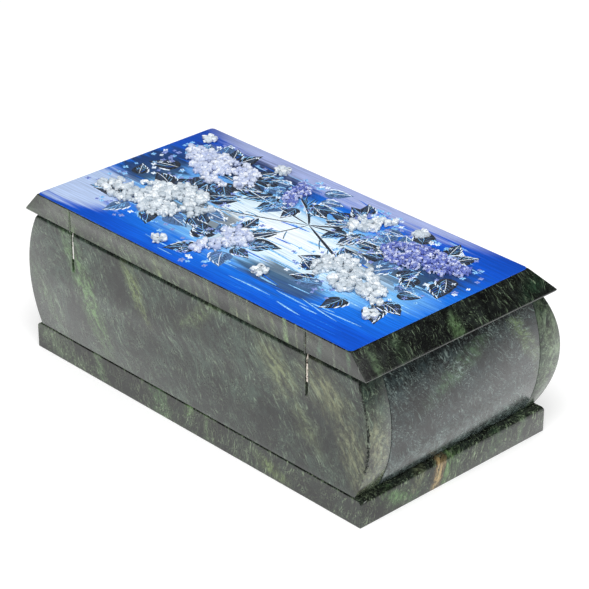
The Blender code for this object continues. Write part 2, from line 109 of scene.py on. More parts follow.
class Graph:
    """Adds shader nodes to one node tree and links them."""

    def __init__(self, tree: bpy.types.NodeTree) -> None:
        """Keep the tree that the nodes go into."""
        self.tree = tree

    def node(self, kind: str, inputs: dict | None = None, **options: object) -> bpy.types.Node:
        """Add a node.

        Args:
            kind: Blender's name for the node type.
            inputs: A value or a socket for each input, by name or number.
            options: Settings of the node itself.

        Returns:
            The new node.
        """
        made = self.tree.nodes.new(kind)
        for option, value in options.items():
            setattr(made, option, value)
        self.feed(made, inputs or {})
        return made

    def feed(self, node: bpy.types.Node, inputs: dict) -> None:
        """Set or link some of a node's inputs.

        Args:
            node: The node.
            inputs: A value or a socket for each input, by name or number.
        """
        for place, value in inputs.items():
            if isinstance(value, bpy.types.NodeSocket):
                self.tree.links.new(value, node.inputs[place])
            else:
                node.inputs[place].default_value = value

    def math(self, operation: str, first: object, second: object = 0.0) -> bpy.types.NodeSocket:
        """Combine two values with one operation."""
        return self.node("ShaderNodeMath", {0: first, 1: second}, operation=operation).outputs[0]

    def times(self, first: object, second: object) -> bpy.types.NodeSocket:
        """Multiply two values."""
        return self.math("MULTIPLY", first, second)

    def plus(self, first: object, second: object) -> bpy.types.NodeSocket:
        """Add two values."""
        return self.math("ADD", first, second)

    def vector(self, operation: str, first: object, second: object) -> bpy.types.NodeSocket:
        """Combine two vectors with one operation.

        Args:
            operation: Blender's name for the operation.
            first: The first vector.
            second: The second vector, which a length takes no notice of.

        Returns:
            A vector, or a value where the operation is a dot product or a length.
        """
        made = self.node("ShaderNodeVectorMath", {0: first, 1: second}, operation=operation)
        single = operation in {"DOT_PRODUCT", "LENGTH"}
        return made.outputs["Value" if single else "Vector"]

    def length(self, vector: object) -> bpy.types.NodeSocket:
        """Give the length of a vector."""
        return self.vector("LENGTH", vector, ORIGIN)

    def noise(self, vector: object, scale: object, detail: float, rough: float = 0.5) -> bpy.types.Node:
        """Add a noise texture."""
        inputs = {"Vector": vector, "Scale": scale, "Detail": detail, "Roughness": rough}
        return self.node("ShaderNodeTexNoise", inputs)

    def between(self, value: object, low: object, high: object) -> bpy.types.NodeSocket:
        """Rise smoothly from 0 to 1 as a value goes from low to high."""
        inputs = {"Value": value, "From Min": low, "From Max": high}
        return self.node("ShaderNodeMapRange", inputs, interpolation_type="SMOOTHSTEP").outputs["Result"]

    def mix(self, share: object, first: object, second: object, blend: str = "MIX") -> bpy.types.NodeSocket:
        """Mix two colours."""
        inputs = {"Factor": share, 6: first, 7: second}
        return self.node("ShaderNodeMix", inputs, data_type="RGBA", blend_type=blend).outputs[2]

    def warp(self, vector: object, scale: float, reach: float) -> bpy.types.NodeSocket:
        """Push a vector about by a noise.

        Args:
            vector: The vector.
            scale: The noise's scale.
            reach: About twice the greatest push.

        Returns:
            The pushed vector.
        """
        colour = self.noise(vector, scale, 2.0).outputs["Color"]
        centred = self.vector("SUBTRACT", colour, NOISE_MIDDLE)
        pushed = self.vector("MULTIPLY", centred, (reach, reach, reach))
        return self.vector("ADD", vector, pushed)

    def oval(self, plane: object, centre: Place, half: Place) -> bpy.types.NodeSocket:
        """Give how far a place on a plane is from an oval's middle, where its rim is 1.

        Args:
            plane: The place.
            centre: The oval's middle.
            half: Its half size both ways.

        Returns:
            The distance.
        """
        away = self.vector("SUBTRACT", plane, (*centre, 0.0))
        sized = self.vector("DIVIDE", away, (*half, 1.0))
        return self.length(self.vector("MULTIPLY", sized, (1.0, 1.0, 0.0)))

    def bump(self, shader: bpy.types.Node, strength: float, depth: float, height: object) -> None:
        """Give a shader's surface small bumps.

        Args:
            shader: The shader.
            strength: How strong they are, from 0 to 1.
            depth: How deep they are, in metres.
            height: The height map.
        """
        inputs = {"Strength": strength, "Distance": depth, "Height": height}
        made = self.node("ShaderNodeBump", inputs)
        self.feed(shader, {"Normal": made.outputs[0]})


def new_group(
    name: str, inputs: dict[str, object], outputs: dict[str, str]
) -> tuple[Graph, bpy.types.Node, bpy.types.Node]:
    """Start a shader node group with named inputs and outputs.

    Args:
        name: The group's name.
        inputs: Each input's first value; its form gives the socket's type.
        outputs: Each output's socket type.

    Returns:
        The group's graph, its input node and its output node.
    """
    tree = bpy.data.node_groups.new(name, "ShaderNodeTree")
    for label, value in inputs.items():
        if isinstance(value, float):
            kind = "NodeSocketFloat"
        else:
            kind = "NodeSocketColor" if len(value) == 4 else "NodeSocketVector"
        socket = tree.interface.new_socket(name=label, in_out="INPUT", socket_type=kind)
        socket.default_value = value
    for label, kind in outputs.items():
        tree.interface.new_socket(name=label, in_out="OUTPUT", socket_type=kind)
    graph = Graph(tree)
    return graph, graph.node("NodeGroupInput"), graph.node("NodeGroupOutput")


@dataclass(frozen=True)
class FibreRun:
    """One family of fibres: its turn from the grain, and how often it varies in each millimetre."""

    turn: Triple
    along: float
    across: float
    curly: bool


FIBRE_RUNS = (
    FibreRun(ORIGIN, 0.10, 0.95, False),
    FibreRun((0.22, -0.18, 0.20), 0.13, 1.50, False),
    FibreRun((-0.28, 0.20, -0.26), 0.12, 1.25, False),
    FibreRun((0.90, 0.80, -0.90), 0.30, 1.90, True),
    FibreRun((-0.80, -0.30, 1.20), 0.34, 2.10, True),
)


def make_figure_group() -> bpy.types.NodeTree:
    """Build the serpentine figure: clouds, drawn-out veins, mottling and fine fibres.

    Returns:
        The group. Its Vector is in millimetres, with the grain along X. Placed Color
        shows where Placed Mask is one, broken up as the veins are.
    """
    inputs = {
        "Vector": ORIGIN,
        "Deep": (0.02, 0.02, 0.02, 1.0),
        "Ground": (0.05, 0.06, 0.05, 1.0),
        "Vein": (0.16, 0.22, 0.10, 1.0),
        "Fibre": (0.30, 0.36, 0.26, 1.0),
        "Placed Color": (0.10, 0.10, 0.10, 1.0),
        "Placed Mask": 0.0,
        "Vein Share": 0.5,
        "Fibre Share": 0.5,
        "Curl": 0.5,
        "Cloud Scale": 0.06,
    }
    outputs = {"Color": "NodeSocketColor", "Roughness": "NodeSocketFloat", "Height": "NodeSocketFloat"}
    graph, entry, leave = new_group("serpentine_figure", inputs, outputs)
    place = entry.outputs
    bent = graph.warp(place["Vector"], 0.035, 16.0)
    torn = graph.warp(bent, 0.28, 2.6)
    cloud_noise = graph.noise(torn, place["Cloud Scale"], 6.0, 0.62)
    clouds = graph.between(cloud_noise.outputs["Fac"], 0.36, 0.64)
    colour = graph.mix(clouds, place["Deep"], place["Ground"])

    drawn_out = graph.vector("MULTIPLY", torn, (0.30, 1.0, 1.0))
    vein_noise = graph.noise(drawn_out, 0.11, 5.0, 0.66).outputs["Fac"]
    vein_edge = graph.math("SUBTRACT", 0.78, graph.times(place["Vein Share"], 0.3))
    vein_full = graph.plus(vein_edge, 0.16)
    veins = graph.between(vein_noise, vein_edge, vein_full)
    colour = graph.mix(graph.times(veins, 0.85), colour, place["Vein"])

    torn_edge = graph.between(graph.noise(drawn_out, 0.42, 5.0, 0.72).outputs["Fac"], 0.36, 0.62)
    kept = graph.plus(graph.times(torn_edge, 0.82), 0.18)
    placed = graph.times(kept, place["Placed Mask"])
    colour = graph.mix(placed, colour, place["Placed Color"])

    mottle = graph.noise(graph.vector("MULTIPLY", torn, (0.45, 1.0, 1.0)), 0.40, 5.0, 0.72)
    shade = graph.times(graph.between(mottle.outputs["Fac"], 0.34, 0.66), 1.5)
    colour = graph.mix(1.0, colour, graph.plus(shade, 0.25), "MULTIPLY")

    fibres = None
    fibre_edge = graph.math("SUBTRACT", 0.62, graph.times(place["Fibre Share"], 0.12))
    fibre_full = graph.plus(fibre_edge, 0.16)
    swayed = graph.warp(bent, 0.13, 2.4)
    for run in FIBRE_RUNS:
        lines = torn if run.curly else swayed
        turned = graph.node(
            "ShaderNodeVectorRotate", {"Vector": lines, "Rotation": run.turn}, rotation_type="EULER_XYZ"
        )
        needle = graph.vector("MULTIPLY", turned.outputs[0], (run.along, run.across, run.across))
        streak = graph.between(graph.noise(needle, 1.0, 3.0, 0.6).outputs["Fac"], fibre_edge, fibre_full)
        patch = graph.between(graph.noise(turned.outputs[0], 0.15, 3.0).outputs["Fac"], 0.42, 0.62)
        streak = graph.times(streak, patch)
        if run.curly:
            streak = graph.times(streak, place["Curl"])
        fibres = streak if fibres is None else graph.math("MAXIMUM", fibres, streak)
    rich = graph.times(graph.math("MAXIMUM", veins, placed), 0.34)
    base_light = graph.plus(graph.times(clouds, 0.34), 0.30)
    lit = graph.times(fibres, graph.plus(rich, base_light))
    colour = graph.mix(lit, colour, place["Fibre"])

    specks = graph.between(graph.noise(torn, 1.1, 3.0, 0.6).outputs["Fac"], 0.44, 0.30)
    colour = graph.mix(graph.times(specks, 0.7), colour, place["Deep"])
    grain = graph.noise(place["Vector"], 3.5, 2.0).outputs["Fac"]
    rough = graph.plus(graph.times(veins, 0.07), graph.times(grain, 0.10))
    height = graph.plus(graph.times(fibres, 0.5), grain)
    graph.feed(leave, {"Color": colour, "Roughness": graph.plus(rough, 0.16), "Height": height})
    return graph.tree


def make_placed_vein_group() -> bpy.types.NodeTree:
    """Build the mask of one ragged vein, or of a painted highlight, shade or reflection, in a known place.

    Returns:
        The group. Along, Across and Through each point along an axis of the vein, and
        are as long as one over its half size that way. A Through of no length lets it
        run right through the stone. Raggedness is in millimetres.
    """
    inputs = {
        "Vector": ORIGIN,
        "Centre": ORIGIN,
        "Along": (0.1, 0.0, 0.0),
        "Across": (0.0, 0.3, 0.0),
        "Through": ORIGIN,
        "Raggedness": 8.0,
    }
    graph, entry, leave = new_group("placed_vein", inputs, {"Mask": "NodeSocketFloat"})
    place = entry.outputs
    away = graph.vector("SUBTRACT", place["Vector"], place["Centre"])
    for scale, share in ((0.09, 1.0), (0.5, 0.32)):
        colour = graph.noise(place["Vector"], scale, 3.0, 0.6).outputs["Color"]
        push = graph.vector("SUBTRACT", colour, NOISE_MIDDLE)
        reach = graph.times(place["Raggedness"], share)
        scaled = graph.node("ShaderNodeVectorMath", {0: push, "Scale": reach}, operation="SCALE")
        away = graph.vector("ADD", away, scaled.outputs["Vector"])
    along = graph.vector("DOT_PRODUCT", away, place["Along"])
    across = graph.vector("DOT_PRODUCT", away, place["Across"])
    through = graph.vector("DOT_PRODUCT", away, place["Through"])
    sized = graph.node("ShaderNodeCombineXYZ", {"X": along, "Y": across, "Z": through}).outputs[0]
    graph.feed(leave, {"Mask": graph.between(graph.length(sized), 1.2, 0.1)})
    return graph.tree


def new_material(name: str) -> tuple[bpy.types.Material, Graph, bpy.types.Node]:
    """Start a material.

    Args:
        name: The material's name.

    Returns:
        The material, its graph and its Principled shader.
    """
    material = bpy.data.materials.new(name)
    material.use_nodes = True
    return material, Graph(material.node_tree), material.node_tree.nodes["Principled BSDF"]


def object_vector(
    graph: Graph, shift: Triple = ORIGIN, turn: Triple = ORIGIN, scale: Triple = PER_MM
) -> bpy.types.NodeSocket:
    """Give the piece's own coordinates, scaled, then turned, then shifted.

    Args:
        graph: The material's graph.
        shift: How far they are shifted.
        turn: How far they are turned about each axis, in radians.
        scale: How far they are scaled. Left out, it makes them millimetres.

    Returns:
        The coordinates.
    """
    place = graph.node("ShaderNodeTexCoord").outputs["Object"]
    inputs = {"Vector": place, "Location": shift, "Rotation": turn, "Scale": scale}
    return graph.node("ShaderNodeMapping", inputs).outputs[0]


@dataclass(frozen=True)
class Vein:
    """A vein, or a painted highlight, shade or reflection, that shows in a known place on one stone piece,
    in millimetres.
    """

    centre: Triple
    along: Triple
    half_length: float
    across: Triple
    half_width: float
    colour: tuple
    strength: float
    raggedness: float = 8.0
    half_depth: float | None = None

    def scaled(self, direction: Triple, half: float) -> Triple:
        """Give a direction one over a half size long."""
        return tuple(Vector(direction).normalized() / half)

    def mask(
        self, graph: Graph, placed: bpy.types.NodeTree, place: bpy.types.NodeSocket
    ) -> bpy.types.NodeSocket:
        """Add the vein's mask to a material.

        Args:
            graph: The material's graph.
            placed: The placed vein group.
            place: The piece's own coordinates, in millimetres.

        Returns:
            The mask, as strong as the vein.
        """
        inputs = {
            "Vector": place,
            "Centre": self.centre,
            "Along": self.scaled(self.along, self.half_length),
            "Across": self.scaled(self.across, self.half_width),
            "Raggedness": self.raggedness,
        }
        if self.half_depth is not None:
            through = tuple(Vector(self.along).cross(Vector(self.across)))
            inputs["Through"] = self.scaled(through, self.half_depth)
        made = graph.node("ShaderNodeGroup", inputs, node_tree=placed)
        return graph.times(made.outputs["Mask"], self.strength)


@dataclass(frozen=True)
class Serpentine:
    """Polished serpentine: its colours as seen, and the size and share of its figure."""

    name: str
    deep: tuple
    ground: tuple
    vein: tuple
    fibre: tuple
    vein_share: float
    fibre_share: float
    cloud_scale: float
    shift: Triple
    turn: Triple
    veins: tuple[Vein, ...] = ()
    curl: float = 0.6
    bump: float = 0.12
    bump_depth: float = 0.2 * MM
    ior: float = 1.55

    def material(self, figure: bpy.types.NodeTree, placed: bpy.types.NodeTree) -> bpy.types.Material:
        """Build the stone's material.

        Args:
            figure: The serpentine figure group.
            placed: The placed vein group.

        Returns:
            The material.
        """
        material, graph, shader = new_material(self.name)
        inputs = {
            "Vector": object_vector(graph, self.shift, self.turn),
            "Deep": self.deep,
            "Ground": self.ground,
            "Vein": self.vein,
            "Fibre": self.fibre,
            "Vein Share": self.vein_share,
            "Fibre Share": self.fibre_share,
            "Curl": self.curl,
            "Cloud Scale": self.cloud_scale,
        }
        if self.veins:
            straight = object_vector(graph)
            first = self.veins[0]
            share = first.mask(graph, placed, straight)
            colour = first.colour
            for vein in self.veins[1:]:
                mask = vein.mask(graph, placed, straight)
                nearer = graph.math("GREATER_THAN", mask, share)
                colour = graph.mix(nearer, colour, vein.colour)
                share = graph.math("MAXIMUM", share, mask)
            inputs["Placed Color"] = colour
            inputs["Placed Mask"] = share
        stone = graph.node("ShaderNodeGroup", inputs, node_tree=figure).outputs
        look = {"Base Color": stone["Color"], "Roughness": stone["Roughness"], "IOR": self.ior}
        graph.feed(shader, look)
        graph.bump(shader, self.bump, self.bump_depth, stone["Height"])
        return material


@dataclass(frozen=True)
class Steel:
    """Dull sheet steel, rubbed bright in places and browned in others."""

    name: str
    bright: tuple
    brown: tuple
    stained: Place
    metallic: float = 0.9
    bump: float = 0.2
    bump_depth: float = 0.05 * MM

    def material(self) -> bpy.types.Material:
        """Build the steel's material.

        Returns:
            The material.
        """
        material, graph, shader = new_material(self.name)
        place = object_vector(graph)
        stain = graph.between(graph.noise(place, 0.9, 4.0, 0.6).outputs["Fac"], *self.stained)
        colour = graph.mix(stain, self.bright, self.brown)
        rough = graph.plus(graph.times(stain, 0.25), 0.3)
        graph.feed(shader, {"Base Color": colour, "Roughness": rough, "Metallic": self.metallic})
        scratches = graph.noise(graph.vector("MULTIPLY", place, (1.0, 1.0, 12.0)), 1.5, 2.0)
        graph.bump(shader, self.bump, self.bump_depth, scratches.outputs["Fac"])
        return material


@dataclass(frozen=True)
class ChipFinish:
    """Crushed stone, each chip with a tint of its own between three colours."""

    name: str
    dark: tuple
    middle: tuple
    light: tuple
    roughness: float = 0.42
    shine: float = 0.35
    bump: float = 0.2
    bump_depth: float = 0.1 * MM

    def material(self) -> bpy.types.Material:
        """Build the chips' material, which reads each chip's tint attribute.

        Returns:
            The material.
        """
        material, graph, shader = new_material(self.name)
        tint = graph.node("ShaderNodeAttribute", attribute_name="tint").outputs["Fac"]
        lower = graph.mix(graph.between(tint, 0.0, 0.55), self.dark, self.middle)
        colour = graph.mix(graph.between(tint, 0.45, 1.0), lower, self.light)
        place = object_vector(graph)
        cloud = graph.noise(place, 1.6, 3.0, 0.6).outputs["Fac"]
        colour = graph.mix(graph.between(cloud, 0.50, 0.30), colour, self.dark)
        look = {"Base Color": colour, "Roughness": self.roughness, "Specular IOR Level": self.shine}
        graph.feed(shader, look)
        graph.bump(shader, self.bump, self.bump_depth, cloud)
        return material


@dataclass(frozen=True)
class StrokeFinish:
    """One cloudy colour: an artist's paint, or the rough stone of a chipped arris."""

    name: str
    thick: tuple
    thin: tuple
    roughness: float = 0.34
    shine: float = 0.3
    bump: float = 0.3
    bump_depth: float = 0.05 * MM

    def material(self) -> bpy.types.Material:
        """Build the material.

        Returns:
            The material.
        """
        material, graph, shader = new_material(self.name)
        place = object_vector(graph)
        body = graph.between(graph.noise(place, 1.1, 4.0, 0.6).outputs["Fac"], 0.35, 0.65)
        colour = graph.mix(body, self.thin, self.thick)
        look = {"Base Color": colour, "Roughness": self.roughness, "Specular IOR Level": self.shine}
        graph.feed(shader, look)
        graph.bump(shader, self.bump, self.bump_depth, graph.noise(place, 6.0, 2.0).outputs["Fac"])
        return material


@dataclass(frozen=True)
class SkyWash:
    """The painted ground: a pale glow that deepens to cobalt, with dusky and pale patches."""

    name: str
    middle: Place
    half: Place
    glow_middle: Place
    glow_half: Place
    wash: tuple
    patches: tuple
    roughness: float = 0.30
    shine: float = 0.3
    bump: float = 0.35
    bump_depth: float = 0.08 * MM

    def material(self) -> bpy.types.Material:
        """Build the wash's material; its plane runs from -1 to 1 both ways.

        Returns:
            The material.
        """
        material, graph, shader = new_material(self.name)
        scale = (1 / self.half[0], 1 / self.half[1], 1 / self.half[0])
        shift = (-self.middle[0] / self.half[0], -self.middle[1] / self.half[1], 0.0)
        plane = object_vector(graph, shift, ORIGIN, scale)
        streaky = graph.vector("MULTIPLY", plane, (1.6, 14.0, 0.0))
        streaks = graph.noise(graph.warp(streaky, 0.6, 1.4), 1.0, 5.0, 0.66)
        pushed = graph.vector("SUBTRACT", streaks.outputs["Color"], NOISE_MIDDLE)
        brushed = graph.vector("ADD", plane, graph.vector("MULTIPLY", pushed, (0.36, 0.46, 0.0)))
        reach = graph.oval(brushed, self.glow_middle, self.glow_half)
        ramp = graph.node("ShaderNodeValToRGB", {"Fac": graph.times(reach, 0.5)})
        stops = ramp.color_ramp.elements
        for number, (position, colour) in enumerate(self.wash):
            stop = stops[number] if number < 2 else stops.new(position)
            stop.position = position
            stop.color = colour
        colour = ramp.outputs["Color"]
        for centre, half, strength, tone in self.patches:
            mask = graph.between(graph.oval(brushed, centre, half), 1.05, 0.62)
            colour = graph.mix(graph.times(mask, strength), colour, tone)
        bristles = graph.vector("MULTIPLY", graph.warp(plane, 3.0, 0.06), (4.0, 70.0, 0.0))
        fine = graph.noise(bristles, 1.0, 3.0, 0.6)
        shade = graph.times(graph.between(fine.outputs["Fac"], 0.30, 0.70), 0.36)
        colour = graph.mix(1.0, colour, graph.plus(shade, 0.80), "MULTIPLY")
        look = {"Base Color": colour, "Roughness": self.roughness, "Specular IOR Level": self.shine}
        graph.feed(shader, look)
        graph.bump(shader, self.bump, self.bump_depth, fine.outputs["Fac"])
        return material


def merged_copy(node: str) -> bmesh.types.BMesh:
    """Copy a CAD node's mesh, with its loose triangles merged.

    Args:
        node: The node's name.

    Returns:
        The merged shape.
    """
    shape = bmesh.new()
    shape.from_mesh(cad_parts[node].data)
    bmesh.ops.remove_doubles(shape, verts=shape.verts, dist=1e-6)
    flat = math.radians(0.5)
    bmesh.ops.dissolve_limit(shape, angle_limit=flat, verts=shape.verts, edges=shape.edges)
    return shape


def bevel(shape: bmesh.types.BMesh, edges: list, offset: float, segments: int, **options: object) -> None:
    """Bevel edges of a shape.

    Args:
        shape: The shape.
        edges: The edges.
        offset: How far the bevel reaches from each edge.
        segments: How many strips it has.
        options: Further settings of Blender's bevel, which go before the usual ones.
    """
    settings = {"offset_type": "OFFSET", "affect": "EDGES", "profile": 0.5, "material": -1, **options}
    bmesh.ops.bevel(shape, geom=edges, offset=offset, segments=segments, **settings)


def cut_away(shape: bmesh.types.BMesh, place: Triple, outwards: Triple, near: float) -> None:
    """Cut off what lies on one side of a plane, and close the cut.

    Args:
        shape: The shape.
        place: A place on the plane.
        outwards: The direction to the side that goes.
        near: How near the plane a vertex counts as on it.
    """
    everything = shape.verts[:] + shape.edges[:] + shape.faces[:]
    bmesh.ops.bisect_plane(
        shape, geom=everything, dist=near, plane_co=place, plane_no=outwards, clear_outer=True
    )
    rim = [edge for edge in shape.edges if edge.is_boundary]
    bmesh.ops.holes_fill(shape, edges=rim, sides=0)


def place_piece(
    shape: bmesh.types.BMesh,
    name: str,
    body: Body,
    material: bpy.types.Material,
    sharp_degrees: float,
) -> bpy.types.Object:
    """Turn a finished shape into a piece that rides on a body.

    Args:
        shape: The bmesh, in place, in metres. It is freed.
        name: The piece's name.
        body: The body that it moves with.
        material: Its material.
        sharp_degrees: Edges that turn by more than this look sharp.

    Returns:
        The piece.
    """
    mesh = bpy.data.meshes.new(name)
    shape.to_mesh(mesh)
    shape.free()
    mesh.shade_smooth()
    mesh.set_sharp_from_angle(angle=math.radians(sharp_degrees))
    mesh.materials.append(material)
    piece = bpy.data.objects.new(name, mesh)
    bpy.context.scene.collection.objects.link(piece)
    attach(piece, body.value)
    log.info("%s: %d faces on %s", name, len(mesh.polygons), body.value)
    return piece


@dataclass
class StonePiece:
    """A stone piece: a merged copy of a CAD node with its arrises eased."""

    node: str
    body: Body
    slot: Slot
    finish: Serpentine
    easing: float = 0.3 * MM
    kerf_clear: float = 1.4 * MM
    least_edge: float = 1.5 * MM
    least_turn: float = 25.0

    def merged_shape(self) -> bmesh.types.BMesh:
        """Copy the node's mesh, merged and with its faces looking outwards.

        Returns:
            The merged shape.
        """
        shape = merged_copy(self.node)
        bmesh.ops.recalc_face_normals(shape, faces=shape.faces)
        return shape

    def in_kerf(self, place: Vector, kerfs: list[float]) -> bool:
        """Tell whether a place is in or near a hinge kerf."""
        return any(abs(place.x - kerf) < self.kerf_clear for kerf in kerfs)

    def eased_shape(self, kerfs: list[float]) -> bmesh.types.BMesh:
        """Merge the node's mesh and bevel its long arrises.

        Args:
            kerfs: Where the hinge kerfs are along X. Edges in them stay as they are.

        Returns:
            The eased shape.
        """
        shape = self.merged_shape()
        arrises = []
        for edge in shape.edges:
            if len(edge.link_faces) != 2 or edge.calc_length() < self.least_edge:
                continue
            start, end = (vertex.co for vertex in edge.verts)
            turned = edge.calc_face_angle() > math.radians(self.least_turn)
            if turned and not (self.in_kerf(start, kerfs) and self.in_kerf(end, kerfs)):
                arrises.append(edge)
        bevel(shape, arrises, self.easing, 2, clamp_overlap=True)
        return shape

    def build(self, kerfs: list[float], figure: bpy.types.NodeTree, placed: bpy.types.NodeTree) -> None:
        """Build the piece and let it stand for its CAD node.

        Args:
            kerfs: Where the hinge kerfs are along X.
            figure: The serpentine figure group.
            placed: The placed vein group.
        """
        piece = place_piece(
            self.eased_shape(kerfs),
            f"{self.node}_stone",
            self.body,
            self.finish.material(figure, placed),
            32.0,
        )
        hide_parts(self.node)


@dataclass
class LidSlab(StonePiece):
    """The lid slab, whose bevels run down to a thin lip, with one corner rubbed flat."""

    lip_height: float = 1.4 * MM
    rubbed_top: float = 5.3 * MM
    rubbed_length: float = 4.9 * MM
    rubbed_depth: float = 0.6 * MM

    def merged_shape(self) -> bmesh.types.BMesh:
        """Merge the slab, draw its bevels down, and cut the rubbed corner.

        Returns:
            The slab's shape.
        """
        shape = super().merged_shape()
        low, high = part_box(self.node)
        tiny = 0.01 * MM
        for vertex in shape.verts:
            if abs(vertex.co.x) > high.x - tiny and vertex.co.z > low.z + self.lip_height:
                vertex.co.z = low.z + self.lip_height
        crown = max(shape.verts, key=lambda vertex: vertex.co.y + vertex.co.z - vertex.co.x).co.copy()
        foot = Vector((low.x, high.y, low.z + self.lip_height))
        above = foot.lerp(crown, self.rubbed_top / (high.z - low.z))
        beside = Vector((low.x + self.rubbed_length, high.y, low.z))
        tip = Vector((low.x, high.y - self.rubbed_depth, low.z + self.lip_height))
        cut_away(shape, above, (beside - above).cross(tip - above), 1e-7)
        bmesh.ops.recalc_face_normals(shape, faces=shape.faces)
        return shape


@dataclass
class StoneBody:
    """The base plate and the four walls."""

    pieces: tuple[StonePiece, ...]

    def build(self, kerfs: list[float], figure: bpy.types.NodeTree, placed: bpy.types.NodeTree) -> None:
        """Build each stone piece of the body.

        Args:
            kerfs: Where the hinge kerfs are along X.
            figure: The serpentine figure group.
            placed: The placed vein group.
        """
        for piece in self.pieces:
            piece.build(kerfs, figure, placed)


@dataclass
class Hinges:
    """The two leaf hinges, which stay as the CAD solids are, and the glue round their leaves."""

    finishes: dict[str, Steel]
    parts: tuple[str, ...] = ("lid_leaf", "body_leaf", "rivet")
    kerf_width: float = 1.3 * MM
    saw_radius: float = 15.0 * MM
    saw_behind_lid: float = 7.7 * MM
    saw_below_lid: float = 4.3 * MM
    glue_recess: float = 0.04 * MM
    glue_depth: float = 2.0 * MM

    def places(self) -> list[float]:
        """List where the hinges are.

        Returns:
            Each hinge's place along X.
        """
        middles = []
        for side in self.finishes:
            low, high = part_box(f"hinge_{side}_rivet")
            middles.append((low.x + high.x) / 2)
        return middles

    def dress(self) -> None:
        """Give each leaf and rivet its steel finish."""
        for side, finish in self.finishes.items():
            material = finish.material()
            for part in self.parts:
                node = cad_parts[f"hinge_{side}_{part}"]
                node.data.materials.clear()
                node.data.materials.append(material)
                log.info("hinge_%s_%s: dressed in steel", side, part)

    def glue_shape(self, near: float, far: float, lid_low: Vector, lid_high: Vector) -> bmesh.types.BMesh:
        """Cut one sliver of glue from a disc like the saw's.

        Args:
            near: Where the sliver starts along X.
            far: Where it ends along X.
            lid_low: The lid slab's lowest corner.
            lid_high: The lid slab's highest corner.

        Returns:
            The closed sliver.
        """
        middle = Vector(
            ((near + far) / 2, lid_high.y + self.saw_behind_lid, lid_low.z - self.saw_below_lid)
        )
        shape = bmesh.new()
        bmesh.ops.create_cone(
            shape,
            cap_ends=True,
            segments=96,
            radius1=self.saw_radius - self.glue_recess,
            radius2=self.saw_radius - self.glue_recess,
            depth=far - near,
            matrix=Matrix.Translation(middle) @ Matrix.Rotation(math.pi / 2, 4, "Y"),
        )
        back = lid_high.y - self.glue_recess
        cuts = (
            ((0.0, back, 0.0), (0.0, 1.0, 0.0)),
            ((0.0, back - self.glue_depth, 0.0), (0.0, -1.0, 0.0)),
            ((0.0, 0.0, lid_low.z + self.glue_recess), (0.0, 0.0, -1.0)),
        )
        for place, outwards in cuts:
            cut_away(shape, place, outwards, 1e-8)
        bmesh.ops.recalc_face_normals(shape, faces=shape.faces)
        return shape

    def glue(self, material: bpy.types.Material) -> None:
        """Fill the lid's kerfs with stone-coloured glue on both sides of each leaf.

        Args:
            material: The glue's material.
        """
        lid_low, lid_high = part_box("lid_slab")
        half = self.kerf_width / 2 - self.glue_recess / 4
        for side, middle in zip(self.finishes, self.places()):
            leaf_low, leaf_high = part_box(f"hinge_{side}_lid_leaf")
            slivers = {
                "outer": (middle - half, leaf_low.x),
                "inner": (leaf_high.x, middle + half),
            }
            for where, (near, far) in slivers.items():
                shape = self.glue_shape(near, far, lid_low, lid_high)
                place_piece(shape, f"kerf_glue_{side}_{where}", Body.LID, material, 32.0)


class Gathering:
    """Gathers many small closed shapes in one bmesh, each with a tint of its own."""

    def __init__(self) -> None:
        """Start an empty gathering."""
        self.shape = bmesh.new()
        self.shape.verts.layers.float.new("tint")
        self.held = bpy.data.meshes.new("held")

    def add(self, small: bmesh.types.BMesh, tint: float) -> None:
        """Add one small shape.

        Args:
            small: The shape, which is freed.
            tint: Its tint, from 0 to 1.
        """
        layer = small.verts.layers.float.new("tint")
        for vertex in small.verts:
            vertex[layer] = tint
        bmesh.ops.recalc_face_normals(small, faces=small.faces)
        small.to_mesh(self.held)
        small.free()
        self.shape.from_mesh(self.held)

    def finished(self) -> bmesh.types.BMesh:
        """Give the gathered shapes, and let the helper mesh go."""
        bpy.data.meshes.remove(self.held)
        return self.shape


@dataclass(frozen=True)
class ChipKind:
    """How one kind of crushed stone lies: chips on the blocks of the heap, and finer fill."""

    slot: Slot
    top_ratio: float
    fill_size: Place
    fill_spacing: float
    overhang: float
    worn: bool


